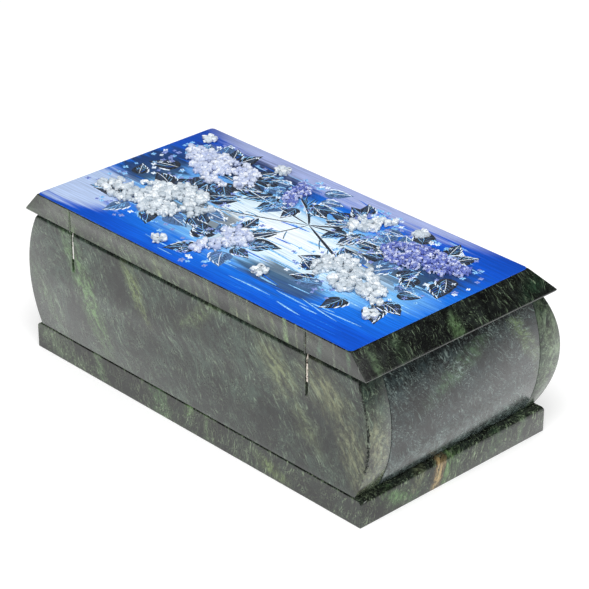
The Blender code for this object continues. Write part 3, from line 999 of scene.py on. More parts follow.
@dataclass
class ChipMound:
    """Separate chips of stone that stand for one of the CAD model's heaps."""

    node: str
    kind: ChipKind
    least_top: float = 0.9 * MM**2
    bed: float = 0.7 * MM
    lean: float = 0.22
    widths: Place = (0.82, 1.16)
    heights: Place = (0.70, 0.95)
    jitter: float = 0.17
    worn_percent: float = 20.0

    def oval(self) -> tuple[Place, Place]:
        """Give the heap's middle and half size as they are seen from above.

        Returns:
            The middle, and the half length and half width.
        """
        low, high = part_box(self.node)
        middle = (low + high) / 2
        half = (high - low) / 2
        return (middle.x, middle.y), (half.x, half.y)

    def chip(
        self, centre: Vector, up: Vector, size: float, low: Vector, high: Vector, draw: random.Random
    ) -> bmesh.types.BMesh:
        """Make one chip, kept inside the heap's box.

        Args:
            centre: The chip's middle.
            up: The way that its top faces.
            size: Its mean width.
            low: The heap's lowest corner.
            high: The heap's highest corner.
            draw: The source of chance.

        Returns:
            The chip.
        """
        leaning = up + Vector((draw.gauss(0.0, self.lean), draw.gauss(0.0, self.lean), 0.0))
        turn = leaning.to_track_quat("Z", "Y").to_matrix().to_4x4()
        turn = turn @ Matrix.Rotation(draw.uniform(0.0, math.tau), 4, "Z")
        widths = [size * draw.uniform(*self.widths) for _ in range(2)]
        stretch = Matrix.Diagonal((*widths, size * draw.uniform(*self.heights), 1.0))
        small = bmesh.new()
        bmesh.ops.create_cube(small, size=0.94, matrix=Matrix.Translation(centre) @ turn @ stretch)
        for vertex in small.verts:
            vertex.co += Vector([draw.uniform(-self.jitter, self.jitter) * size for _ in range(3)])
        if self.kind.worn:
            bevel(small, small.edges[:], self.worn_percent, 1, offset_type="PERCENT")
        for vertex in small.verts:
            for axis in range(3):
                vertex.co[axis] = min(max(vertex.co[axis], low[axis]), high[axis])
        return small

    def fill_spots(self, tree: BVHTree, low: Vector, high: Vector, draw: random.Random) -> list[Vector]:
        """Choose places for the finer chips, on and a little round the heap.

        Args:
            tree: The heap's surface.
            low: The heap's lowest corner.
            high: The heap's highest corner.
            draw: The source of chance.

        Returns:
            The places, each at the height of what it lies on.
        """
        spacing = self.kind.fill_spacing
        chosen: dict[tuple[int, int], list[Vector]] = {}
        tries = int((high.x - low.x) * (high.y - low.y) / spacing**2 * 7)
        for _ in range(tries):
            spot = Vector((draw.uniform(low.x, high.x), draw.uniform(low.y, high.y), low.z))
            hit = tree.ray_cast(spot + Vector((0.0, 0.0, 0.02)), Vector((0.0, 0.0, -1.0)))[0]
            raised = hit is not None and hit.z > low.z + self.bed
            beside = tree.find_nearest(spot + Vector((0.0, 0.0, 1.3 * MM)))[3] < self.kind.overhang
            if not raised and not beside:
                continue
            if raised:
                spot.z = hit.z
            column, row = int(spot.x // spacing), int(spot.y // spacing)
            near = [
                other
                for right in (-1, 0, 1)
                for back in (-1, 0, 1)
                for other in chosen.get((column + right, row + back), ())
            ]
            if any((spot.xy - other.xy).length < spacing for other in near):
                continue
            chosen.setdefault((column, row), []).append(spot)
        return [spot for cell in chosen.values() for spot in cell]

    def top_chips(self, heap: bmesh.types.BMesh, low: Vector, draw: random.Random) -> list[tuple]:
        """List a chip for each block of the heap, and one under it.

        Args:
            heap: The merged heap.
            low: The heap's lowest corner.
            draw: The source of chance.

        Returns:
            Each chip's middle, the way that it faces, and its size.
        """
        chips = []
        for face in heap.faces:
            middle = face.calc_center_median()
            area = face.calc_area()
            if face.normal.z < 0.75 or area < self.least_top or middle.z < low.z + self.bed:
                continue
            size = math.sqrt(area) * self.kind.top_ratio * draw.uniform(0.94, 1.10)
            centre = middle - face.normal * 0.42 * size
            chips.append((centre, face.normal.copy(), size))
            below = Vector((centre.x, centre.y, low.z + 0.40 * size))
            chips.append((below, Vector(UP), size))
        return chips

    def fine_chips(self, tree: BVHTree, low: Vector, high: Vector, draw: random.Random) -> list[tuple]:
        """List the fine chips: between the blocks, or where there are only crumbs, right through.

        Args:
            tree: The heap's surface.
            low: The heap's lowest corner.
            high: The heap's highest corner.
            draw: The source of chance.

        Returns:
            Each chip's middle, the way that it faces, and its size.
        """
        chips = []
        upright = Vector(UP)
        for spot in self.fill_spots(tree, low, high, draw):
            size = draw.uniform(*self.kind.fill_size)
            if spot.z < low.z + self.bed:
                heights = [low.z + 0.40 * size]
            elif self.kind.worn:
                heights = [low.z + draw.uniform(0.5, 1.1) * size]
            else:
                layers = max(1, int((spot.z - low.z) / (0.85 * size)))
                step = (spot.z - 0.3 * size - low.z) / layers
                heights = [low.z + step * (layer + 1) for layer in range(layers)]
            for height in heights:
                chips.append((Vector((spot.x, spot.y, height)), upright, size))
        return chips

    def build(self, material: bpy.types.Material) -> None:
        """Build the chips and let them stand for the heap.

        Args:
            material: The chips' material.
        """
        draw = random.Random(self.node)
        low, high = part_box(self.node)
        heap = merged_copy(self.node)
        chips = self.fine_chips(BVHTree.FromBMesh(heap), low, high, draw)
        if self.kind.worn:
            chips += self.top_chips(heap, low, draw)
        heap.free()
        gathering = Gathering()
        for centre, up, size in chips:
            gathering.add(self.chip(centre, up, size, low, high, draw), draw.random())
        shape = gathering.finished()
        piece = place_piece(shape, f"{self.node}_chips", Body.LID, material, 50.0)
        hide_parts(self.node)


def dab_width(share: float) -> float:
    """Give the width of a dab of paint along its length, as a share of the greatest."""
    return math.sin(math.pi * share) ** 0.6


def leaf_width(share: float) -> float:
    """Give the width of a heart-shaped leaf along its length.

    Args:
        share: How far along the leaf, from 0 to 1.

    Returns:
        The width there, as a share of the greatest.
    """
    widest = 0.26
    if share < widest:
        return (share / widest) ** 0.42
    rest = (share - widest) / (1.0 - widest)
    return math.cos(math.pi / 2 * rest) ** 1.25


@dataclass(frozen=True)
class Stroke:
    """One stroke of paint: its start, direction in radians, sizes, turn and height."""

    start: Place
    heading: float
    length: float
    width: float
    bend: float
    rise: float

    def place(self, share: float, side: float) -> Place:
        """Give a place on or beside the stroke.

        Args:
            share: How far along the stroke, from 0 to 1.
            side: How far to its left.

        Returns:
            The place.
        """
        angle = self.heading + self.bend * share / 2.0
        facing = self.heading + self.bend * share
        along = self.length * share
        return (
            self.start[0] + along * math.cos(angle) - side * math.sin(facing),
            self.start[1] + along * math.sin(angle) + side * math.cos(facing),
        )


class Brush:
    """Lays strokes of paint of one colour on the painted ground."""

    def __init__(self, ground: float, draw: random.Random) -> None:
        """Start with no strokes.

        Args:
            ground: The height of the painted ground's top.
            draw: The source of chance.
        """
        self.gathering = Gathering()
        self.ground = ground
        self.draw = draw

    def lay(self, stroke: Stroke, sides: int = 6, width_at: Callable[[float], float] = dab_width) -> None:
        """Lay one stroke.

        Args:
            stroke: The stroke.
            sides: How many sides its cross-section has.
            width_at: Its width along its length.
        """
        rings = max(5, min(18, int(stroke.length / MM) + 3))
        small = bmesh.new()
        bmesh.ops.create_uvsphere(
            small,
            u_segments=sides,
            v_segments=rings,
            radius=1.0,
            matrix=Matrix.Rotation(math.pi / 2, 4, "Y"),
        )
        for vertex in small.verts:
            share = (vertex.co.x + 1.0) / 2.0
            ring = math.sqrt(max(1.0 - vertex.co.x**2, 0.0))
            spread = width_at(min(max(share, 0.0), 1.0)) / ring if ring > 0.01 else 0.0
            across, back = stroke.place(share, vertex.co.y * spread * stroke.width / 2.0)
            height = self.ground + max(vertex.co.z, -0.25) * stroke.rise
            vertex.co = Vector((across, back, height))
        self.gathering.add(small, self.draw.random())

    def build(self, name: str, material: bpy.types.Material) -> None:
        """Turn the strokes into a piece on the lid."""
        place_piece(self.gathering.finished(), name, Body.LID, material, 60.0)


class Tone(Enum):
    """The colours on the palette."""

    CHARCOAL = "charcoal"
    SLATE = "slate"
    AZURE = "azure"
    SKY = "sky"
    IRIS = "iris"
    SNOW = "snow"


@dataclass
class Bouquet:
    """The painted part of the lilac design: twigs, leaves, florets and the sky's streaks."""

    centre: Place = (-6.0 * MM, -6.0 * MM)
    leaves_per_spray: int = 15
    florets: int = 560
    streaks: int = 130
    margin: float = 2.5 * MM
    seed: int = 41
    brushes: dict[Tone, Brush] = field(default_factory=dict)
    draw: random.Random = field(default_factory=random.Random)

    def leaf(self, base: Place, heading: float, length: float) -> None:
        """Paint one heart-shaped leaf, dark with a midrib, side veins and a lit edge.

        Args:
            base: Where the leaf meets its stalk.
            heading: The way that it points, in radians.
            length: Its length.
        """
        draw = self.draw
        bend = draw.uniform(-0.5, 0.5)
        width = length * draw.uniform(0.62, 0.78)
        blade = Stroke(base, heading, length, width, bend, 0.16 * MM)
        body = Tone.CHARCOAL if draw.random() < 0.72 else Tone.SLATE
        self.brushes[body].lay(blade, 14, leaf_width)
        lit_side = draw.choice((-1.0, 1.0))
        edge_tone = Tone.SNOW if draw.random() < 0.65 else Tone.SKY
        for share in (0.10, 0.24, 0.40, 0.56, 0.72):
            reach = width / 2.0 * leaf_width(share + 0.12)
            for side in (-1.0, 1.0):
                angle = heading + bend * share + side * math.radians(48 - 18 * share)
                start = blade.place(share, 0.0)
                vein_tone = Tone.SLATE if body is Tone.CHARCOAL else Tone.CHARCOAL
                if side == lit_side:
                    vein_tone = Tone.SKY if draw.random() < 0.6 else Tone.AZURE
                vein = Stroke(start, angle, reach * 1.15, 0.34 * MM, -side * 0.35, 0.22 * MM)
                self.brushes[vein_tone].lay(vein)
            if draw.random() < 0.86:
                rim = blade.place(share, lit_side * reach * 0.86)
                run = heading + bend * share + lit_side * (0.55 - 1.25 * share)
                lit = Stroke(rim, run, length * 0.24, 0.62 * MM, -lit_side * 0.3, 0.26 * MM)
                self.brushes[edge_tone].lay(lit)
        midrib = Stroke(base, heading, length * 0.94, 0.42 * MM, bend, 0.26 * MM)
        self.brushes[Tone.SNOW if draw.random() < 0.5 else Tone.SKY].lay(midrib)

    def twig(self, start: Place, end: Place, bend: float) -> None:
        """Paint a twig between two places, with its lit side and short side shoots.

        Args:
            start: Its thick end.
            end: Its thin end.
            bend: How far it turns, in radians.
        """
        draw = self.draw
        run = Vector(end) - Vector(start)
        heading = math.atan2(run.y, run.x) - bend / 2
        stem = Stroke(start, heading, run.length, 1.5 * MM, bend, 0.16 * MM)
        self.brushes[Tone.CHARCOAL].lay(stem)
        lit = Stroke(stem.place(0.02, 0.45 * MM), heading, run.length * 0.9, 0.42 * MM, bend, 0.24 * MM)
        self.brushes[Tone.SNOW].lay(lit)
        for _ in range(7):
            share = draw.uniform(0.25, 0.95)
            side = draw.choice((-1.0, 1.0))
            angle = heading + bend * share + side * draw.uniform(0.4, 0.9)
            length = draw.uniform(4.0, 9.0) * MM
            shoot = Stroke(stem.place(share, 0.0), angle, length, 0.55 * MM, 0.2, 0.14 * MM)
            self.brushes[Tone.CHARCOAL].lay(shoot)
            tip = Stroke(shoot.place(0.1, 0.2 * MM), angle, shoot.length * 0.8, 0.26 * MM, 0.2, 0.2 * MM)
            self.brushes[Tone.SKY].lay(tip)

    def floret(self, middle: Place) -> None:
        """Paint one small four-petalled floret.

        Args:
            middle: The floret's middle.
        """
        draw = self.draw
        size = draw.uniform(0.8, 1.35) * MM
        turn = draw.uniform(0.0, math.tau)
        tone = draw.choice((Tone.SKY, Tone.SNOW, Tone.IRIS, Tone.IRIS, Tone.SKY))
        for petal in range(4):
            angle = turn + petal * math.pi / 2
            self.brushes[tone].lay(Stroke(middle, angle, size, size * 0.72, 0.0, 0.22 * MM))
        self.brushes[Tone.SLATE].lay(Stroke(middle, turn, 0.3 * size, 0.3 * size, 0.0, 0.3 * MM))

    def inside(self, low: Vector, high: Vector, place: Place, margin: float) -> bool:
        """Tell whether a place is well inside the painted ground."""
        inside_x = low.x + margin < place[0] < high.x - margin
        return inside_x and low.y + margin < place[1] < high.y - margin

    def paint(self, low: Vector, high: Vector, sprays: list[tuple], materials: dict) -> None:
        """Paint the whole design between the sprays of chips.

        Args:
            low: The painted ground's lowest corner.
            high: The painted ground's highest corner.
            sprays: The middle and the half length and half width of each spray.
            materials: The paint of each tone.
        """
        self.draw = draw = random.Random(self.seed)
        self.brushes = {tone: Brush(high.z, draw) for tone in materials}
        for _ in range(self.streaks):
            spot = (draw.uniform(low.x, high.x - 24 * MM), draw.uniform(low.y, high.y))
            if self.inside(low, high, spot, self.margin):
                streak = Stroke(
                    spot,
                    draw.gauss(0.0, 0.05),
                    draw.uniform(7.0, 22.0) * MM,
                    draw.uniform(0.4, 0.9) * MM,
                    draw.gauss(0.0, 0.08),
                    0.10 * MM,
                )
                self.brushes[draw.choice((Tone.SKY, Tone.SKY, Tone.AZURE))].lay(streak)
        for middle, _half in sprays:
            self.twig(self.centre, middle, draw.uniform(-0.5, 0.5))
        for middle, half in sprays:
            for number in range(self.leaves_per_spray):
                around = math.tau * (number + draw.uniform(0.0, 0.8)) / self.leaves_per_spray
                share = draw.uniform(0.55, 1.0)
                base = (
                    middle[0] + share * half[0] * math.cos(around),
                    middle[1] + share * half[1] * math.sin(around),
                )
                length = draw.uniform(9.0, 14.0) * MM
                outwards = math.atan2(base[1] - middle[1], base[0] - middle[0])
                heading = outwards + draw.uniform(-0.6, 0.6)
                tip = (base[0] + length * math.cos(heading), base[1] + length * math.sin(heading))
                if self.inside(low, high, base, self.margin) and self.inside(low, high, tip, self.margin):
                    self.leaf(base, heading, length)
        for _ in range(self.florets):
            middle, half = draw.choice(sprays)
            around = draw.uniform(0.0, math.tau)
            away = draw.uniform(0.7, 1.35)
            spot = (
                middle[0] + away * half[0] * math.cos(around),
                middle[1] + away * half[1] * math.sin(around),
            )
            if self.inside(low, high, spot, self.margin):
                self.floret(spot)
        for tone, brush in self.brushes.items():
            brush.build(f"{tone.value}_brushwork", materials[tone])


@dataclass
class Panel:
    """The painted ground, with corners that the brush rounded a little."""

    node: str = "painted_ground"
    corner: float = 1.6 * MM
    rim_easing: float = 0.12 * MM

    def build(self, material: bpy.types.Material) -> tuple[Vector, Vector]:
        """Build the ground and let it stand for its CAD node.

        Args:
            material: The ground's paint.

        Returns:
            Its lowest and highest corners.
        """
        low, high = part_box(self.node)
        size = high - low
        shape = bmesh.new()
        placed = Matrix.Translation((low + high) / 2) @ Matrix.Diagonal((*size, 1.0))
        bmesh.ops.create_cube(shape, size=1.0, matrix=placed)
        upright = [edge for edge in shape.edges if abs(edge.verts[0].co.z - edge.verts[1].co.z) > size.z / 2]
        bevel(shape, upright, self.corner, 5)
        top = high.z - 1e-6
        rim = [edge for edge in shape.edges if all(vertex.co.z > top for vertex in edge.verts)]
        bevel(shape, rim, self.rim_easing, 2)
        piece = place_piece(shape, "painted_panel", Body.LID, material, 40.0)
        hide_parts(self.node)
        return low, high


@dataclass
class ChippedArris:
    """The rough arris where the back wall meets the left end, as a row of small dull flakes."""

    node: str = "back_wall"
    flakes: int = 210
    size: Place = (0.32 * MM, 0.78 * MM)
    span: Place = (12.0 * MM, 44.0 * MM)
    bulge: float = 6.1 * MM
    sunk: float = 0.12 * MM
    proud: float = 0.25 * MM
    scatter_mm: float = 0.24
    stretches: Place = (0.6, 1.5)
    seed: int = 17

    def build(self, material: bpy.types.Material) -> None:
        """Lay the flakes along the arris, inside the whole box's outline.

        Args:
            material: The rough stone.
        """
        low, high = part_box(self.node)
        half_height = (high.z - low.z) / 2
        radius = (half_height**2 + self.bulge**2) / (2 * self.bulge)
        draw = random.Random(self.seed)
        gathering = Gathering()
        for _ in range(self.flakes):
            z = low.z + draw.uniform(*self.span)
            inset = radius - math.sqrt(radius**2 - (z - low.z - half_height) ** 2)
            size = draw.uniform(*self.size)
            side = draw.gauss(0.0, self.scatter_mm) * MM
            x = low.x + inset + self.sunk + max(side, 0.0)
            centre = Vector((x, high.y - self.sunk + min(side, 0.0), z))
            stretch = Matrix.Diagonal((1.0, 1.0, draw.uniform(*self.stretches), 1.0))
            flake = bmesh.new()
            bmesh.ops.create_icosphere(
                flake, subdivisions=1, radius=size / 2, matrix=Matrix.Translation(centre) @ stretch
            )
            for vertex in flake.verts:
                vertex.co.x = max(vertex.co.x, low.x)
                vertex.co.y = min(vertex.co.y, high.y + self.proud)
            gathering.add(flake, draw.random())
        shape = gathering.finished()
        place_piece(shape, "back_wall_chipped_arris", Body.BOX, material, 40.0)


@dataclass(frozen=True)
class Lamp:
    """A square soft lamp that faces the box: its angles in degrees, metres and watts."""

    name: str
    azimuth: float
    elevation: float
    distance: float
    size: float
    power: float


@dataclass
class Studio:
    """A white floor, soft lamps and the camera."""

    lamps: tuple[Lamp, ...] = (
        Lamp("key", azimuth=215.0, elevation=62.0, distance=1.5, size=0.9, power=14.0),
        Lamp("side", azimuth=266.0, elevation=35.0, distance=1.6, size=0.8, power=5.0),
    )
    target: Triple = (0.0, 1.15 * MM, 35.0 * MM)
    azimuth: float = 226.66
    elevation: float = 28.17
    distance: float = 873.0 * MM
    lens: float = 145.1
    shift: Place = (0.0193, 0.0166)
    # Painted reflection: the floor glows for reflections only, near the box, and more in a pool past its
    # left end.
    floor_reflection_glow: float = 0.45
    end_reflection_glow: float = 0.45
    end_reflection_glow_near: Place = (-102.0 * MM, -113.0 * MM)
    end_reflection_glow_far: Place = (-200.0 * MM, -115.0 * MM)
    reflection_glow_reach: Place = (480.0 * MM, 200.0 * MM)
    ceiling_start: float = -0.06
    ceiling_end: float = 0.08
    ceiling_dark: float = 0.95
    room: float = 0.62
    floor_lift: float = 0.22
    floor_half: float = 6.0
    floor_height: float = -0.02 * MM
    floor_colour: tuple = (0.86, 0.86, 0.86, 1.0)
    floor_roughness: float = 0.9

    def aim(self, thing: bpy.types.Object, azimuth: float, elevation: float, distance: float) -> None:
        """Put a lamp or camera somewhere round the box, facing it.

        Args:
            thing: The lamp or camera.
            azimuth: The angle round the box, in degrees.
            elevation: The angle above the floor, in degrees.
            distance: How far it is from the target.
        """
        turn, tilt = math.radians(azimuth), math.radians(elevation)
        direction = Vector(
            (math.sin(turn) * math.cos(tilt), -math.cos(turn) * math.cos(tilt), math.sin(tilt))
        )
        thing.location = Vector(self.target) + direction * distance
        thing.rotation_mode = "QUATERNION"
        thing.rotation_quaternion = (-direction).to_track_quat("-Z", "Y")
        bpy.context.scene.collection.objects.link(thing)

    def add_camera(self) -> None:
        """Put the camera at the fitted place."""
        data = bpy.data.cameras.new("camera")
        data.lens = self.lens
        data.sensor_width = 36.0
        data.shift_x, data.shift_y = self.shift
        data.clip_start = 0.05
        camera = bpy.data.objects.new("camera", data)
        self.aim(camera, self.azimuth, self.elevation, self.distance)
        bpy.context.scene.camera = camera

    def add_lamps(self) -> None:
        """Hang the lamps."""
        for lamp in self.lamps:
            data = bpy.data.lights.new(lamp.name, "AREA")
            data.shape = "SQUARE"
            data.size = lamp.size
            data.energy = lamp.power
            hung = bpy.data.objects.new(lamp.name, data)
            self.aim(hung, lamp.azimuth, lamp.elevation, lamp.distance)

    def add_floor(self) -> None:
        """Lay the white floor just under the box, evenly bright to the camera, with a painted glow near the
        box that only reflections see, brighter past its left end.
        """
        shape = bmesh.new()
        level = Matrix.Translation((0.0, 0.0, self.floor_height))
        bmesh.ops.create_grid(shape, x_segments=1, y_segments=1, size=self.floor_half, matrix=level)
        mesh = bpy.data.meshes.new("floor")
        shape.to_mesh(mesh)
        shape.free()
        material, graph, shader = new_material("white_floor")
        path = graph.node("ShaderNodeLightPath")
        seen_lift = graph.times(path.outputs["Is Camera Ray"], self.floor_lift)
        place = graph.node("ShaderNodeTexCoord").outputs["Object"]
        along = graph.node("ShaderNodeSeparateXYZ", {0: place}).outputs["X"]
        # Painted reflection: a glow that only glossy rays see, fading away from the box, with a pool of it
        # past the left end.
        past_end = graph.between(along, *self.end_reflection_glow_near)
        glow_pool_past_end = graph.times(past_end, graph.between(along, *self.end_reflection_glow_far))
        reflection_glow_strength = graph.plus(graph.times(glow_pool_past_end, self.end_reflection_glow), self.floor_reflection_glow)
        reflection_glow_strength = graph.times(reflection_glow_strength, graph.between(graph.length(place), *self.reflection_glow_reach))
        reflected_glow_lift = graph.times(path.outputs["Is Glossy Ray"], reflection_glow_strength)
        look = {
            "Base Color": self.floor_colour,
            "Roughness": self.floor_roughness,
            "Emission Color": WHITE_LIGHT,
            "Emission Strength": graph.plus(seen_lift, reflected_glow_lift),
        }
        graph.feed(shader, look)
        mesh.materials.append(material)
        floor = bpy.data.objects.new("floor", mesh)
        bpy.context.scene.collection.objects.link(floor)

    def add_world(self) -> None:
        """Light the box from a white room whose ceiling is dark in reflections."""
        world = bpy.data.worlds.new("studio")
        world.use_nodes = True
        bpy.context.scene.world = world
        graph = Graph(world.node_tree)
        background = world.node_tree.nodes["Background"]
        path = graph.node("ShaderNodeLightPath")
        direction = graph.node("ShaderNodeTexCoord").outputs["Generated"]
        height = graph.node("ShaderNodeSeparateXYZ", {0: direction}).outputs["Z"]
        ceiling = graph.between(height, self.ceiling_start, self.ceiling_end)
        dimmed = graph.math("SUBTRACT", 1.0, graph.times(ceiling, self.ceiling_dark))
        glossy, seen_ray = path.outputs["Is Glossy Ray"], path.outputs["Is Camera Ray"]
        plain = graph.math("SUBTRACT", 1.0, graph.math("MAXIMUM", glossy, seen_ray))
        strength = graph.plus(graph.times(glossy, dimmed), seen_ray)
        strength = graph.plus(strength, graph.times(plain, self.room))
        graph.feed(background, {"Strength": strength, "Color": WHITE_LIGHT})

    def build(self) -> None:
        """Set the whole studio up."""
        bpy.context.scene.view_settings.view_transform = "Standard"
        self.add_camera()
        self.add_floor()
        self.add_world()
        self.add_lamps()


GREY_GREEN = dict(
    deep=seen(22, 28, 26),
    ground=seen(48, 62, 54),
    vein=seen(90, 112, 72),
    fibre=seen(142, 162, 136),
)

RISING = (0.69, 0.0, 0.73)
FALLING = (0.73, 0.0, -0.69)
SAGE = seen(110, 114, 84)
PALE_SAGE = seen(112, 116, 88)
CORNER_SAGE = seen(118, 120, 92)
# Painted glint: a thin light line on the lid's back edge by its left end.
LIP_PAINTED_GLINT = seen(150, 160, 150)
# Painted highlight: a thin light line on the base's top arris at its back left corner.
BASE_PAINTED_GLINT = seen(150, 154, 150)

BACK_VEINS = (
    Vein((57.0, 48.0, 36.0), (0.47, 0.0, 0.88), 34.0, (0.88, 0.0, -0.47), 6.5, seen(96, 128, 80), 0.95),
    Vein((28.0, 48.0, 47.0), (0.5, 0.0, 0.86), 14.0, (0.86, 0.0, -0.5), 4.4, seen(112, 128, 76), 0.9),
    Vein((-46.0, 48.0, 46.0), RISING, 18.0, FALLING, 8.0, seen(108, 116, 82), 0.85, 15.0),
    Vein((-60.0, 48.0, 30.0), RISING, 18.0, FALLING, 6.0, seen(92, 102, 74), 0.8, 15.0),
    Vein((-70.0, 48.0, 46.0), (0.93, 0.0, 0.36), 18.0, (-0.36, 0.0, 0.93), 9.0, SAGE, 0.9, 12.0),
    Vein((-84.0, 48.0, 28.0), (0.3, 0.0, 0.95), 26.0, (0.95, 0.0, -0.3), 8.0, PALE_SAGE, 0.85, 10.0),
    Vein((-91.0, 43.0, 30.0), (0.0, 0.2, 1.0), 22.0, (0.0, 1.0, -0.2), 7.0, CORNER_SAGE, 0.85, 6.0, 4.0),
    Vein((-8.0, 48.0, 52.0), (0.8, 0.0, -0.6), 22.0, (0.6, 0.0, 0.8), 4.0, seen(82, 98, 64), 0.8),
    Vein((80.0, 48.0, 24.0), (0.6, 0.0, 0.8), 20.0, (0.8, 0.0, -0.6), 5.0, seen(84, 108, 76), 0.8),
    Vein((-61.2, 48.0, 47.0), (0.0, 0.0, 1.0), 9.0, (1.0, 0.0, 0.0), 1.2, seen(140, 138, 122), 0.7, 0.8),
)

FRONT_VEINS = (
    Vein((-90.0, -44.0, 34.0), (0.0, 0.0, 1.0), 34.0, (0.0, 1.0, 0.0), 8.0, seen(100, 116, 90), 0.85, 5.0),
)

EDGE_STREAKS = (
    (14.0, 0.55, 5.0, seen(104, 120, 82), 0.9, 5.0),
    (64.0, 0.6, 5.0, seen(100, 122, 86), 0.9, 5.0),
    (-20.0, 0.5, 6.0, seen(14, 17, 15), 0.8, 5.0),
    (38.0, 0.5, 5.0, seen(16, 18, 16), 0.76, 5.0),
    (-51.5, 0.1, 1.8, seen(128, 156, 108), 1.0, 0.8),
    (-82.0, 0.2, 1.4, seen(74, 100, 74), 0.9, 1.0),
    (-75.0, 0.1, 0.8, seen(112, 126, 104), 0.9, 0.8),
    (-68.0, -0.1, 1.6, seen(64, 90, 70), 0.9, 1.0),
    (-57.0, 0.1, 0.8, seen(120, 134, 104), 0.9, 0.8),
    (-45.0, 0.1, 2.0, seen(84, 98, 66), 0.9, 1.2),
    (-33.0, 0.15, 1.0, seen(110, 122, 92), 0.9, 1.0),
    (-27.0, 0.15, 0.7, seen(118, 128, 100), 0.9, 0.8),
    (-13.0, 0.2, 0.7, seen(112, 126, 94), 0.9, 0.8),
    (-6.0, 0.2, 1.4, seen(112, 126, 94), 0.9, 1.2),
    (4.0, 0.2, 0.9, seen(104, 118, 88), 0.9, 1.0),
)

# Veins and streaks of the lid slab, and one painted glint on its back edge.
LID_VEINS_AND_PAINTED_GLINT = (
    Vein((24.0, 48.8, 62.0), (1.0, 0.0, 0.0), 110.0, (0.0, 1.0, 0.25), 3.4, seen(78, 94, 70), 0.72, 2.0),
    *(
        Vein((x, 48.8, 62.0), (lean, 0.0, 1.0), 9.0, (1.0, 0.0, -lean), width, tone, strength, ragged, 5.0)
        for x, lean, width, tone, strength, ragged in EDGE_STREAKS
    ),
    # Painted glint on the lid's back edge, by its left end.
    Vein((-86.6, 48.8, 61.6), (0.3, 0.0, 1.0), 1.6, (1.0, 0.0, -0.3), 0.3, LIP_PAINTED_GLINT, 0.9, 0.8, 1.5),
    Vein((-87.0, 3.0, 61.0), (0.6, 0.1, 0.75), 6.0, (0.0, 1.0, 0.0), 3.6, seen(74, 98, 64), 0.95, 4.0),
    Vein((-87.0, -38.0, 63.0), (0.0, 0.95, -0.3), 12.0, (0.0, 0.3, 0.95), 3.4, seen(30, 52, 36), 0.9, 4.0),
    Vein((-87.0, 30.0, 62.0), (0.6, 0.1, 0.75), 10.0, (0.0, 1.0, 0.0), 3.6, seen(46, 62, 44), 0.8, 4.0),
    Vein((-87.0, 42.0, 62.0), (0.6, 0.2, 0.75), 9.0, (0.0, 1.0, 0.0), 3.0, seen(70, 88, 64), 0.85, 4.0),
)

# Veins of the left end wall, and two bands of painted light.
END_VEINS_AND_PAINTED_LIGHT = (
    Vein((-88.0, -29.0, 47.0), (0.0, 0.5, 0.87), 15.0, (0.0, 0.87, -0.5), 4.4, seen(92, 112, 72), 0.95),
    Vein((-89.0, -35.0, 38.0), (0.0, 0.4, 0.9), 19.0, (0.0, 0.9, -0.4), 3.4, seen(92, 108, 80), 0.9),
    Vein((-88.0, 2.0, 46.0), (0.0, 0.9, -0.42), 24.0, (0.0, 0.42, 0.9), 5.0, seen(56, 78, 54), 0.85),
    # Painted shade: a near-black band along the top of the end wall, just under the lid.
    Vein((-86.0, -10.0, 56.0), (0.0, 1.0, 0.0), 60.0, (0.0, 0.0, 1.0), 3.8, seen(8, 9, 8), 1.0, 3.0),
    # Painted reflection of the white floor: a paler grey band along the lower part of the end wall, which
    # faces down.
    Vein((-88.0, 0.0, 17.0), (0.0, 1.0, 0.0), 70.0, (0.0, 0.0, 1.0), 9.0, seen(92, 104, 102), 0.75, 6.0),
)

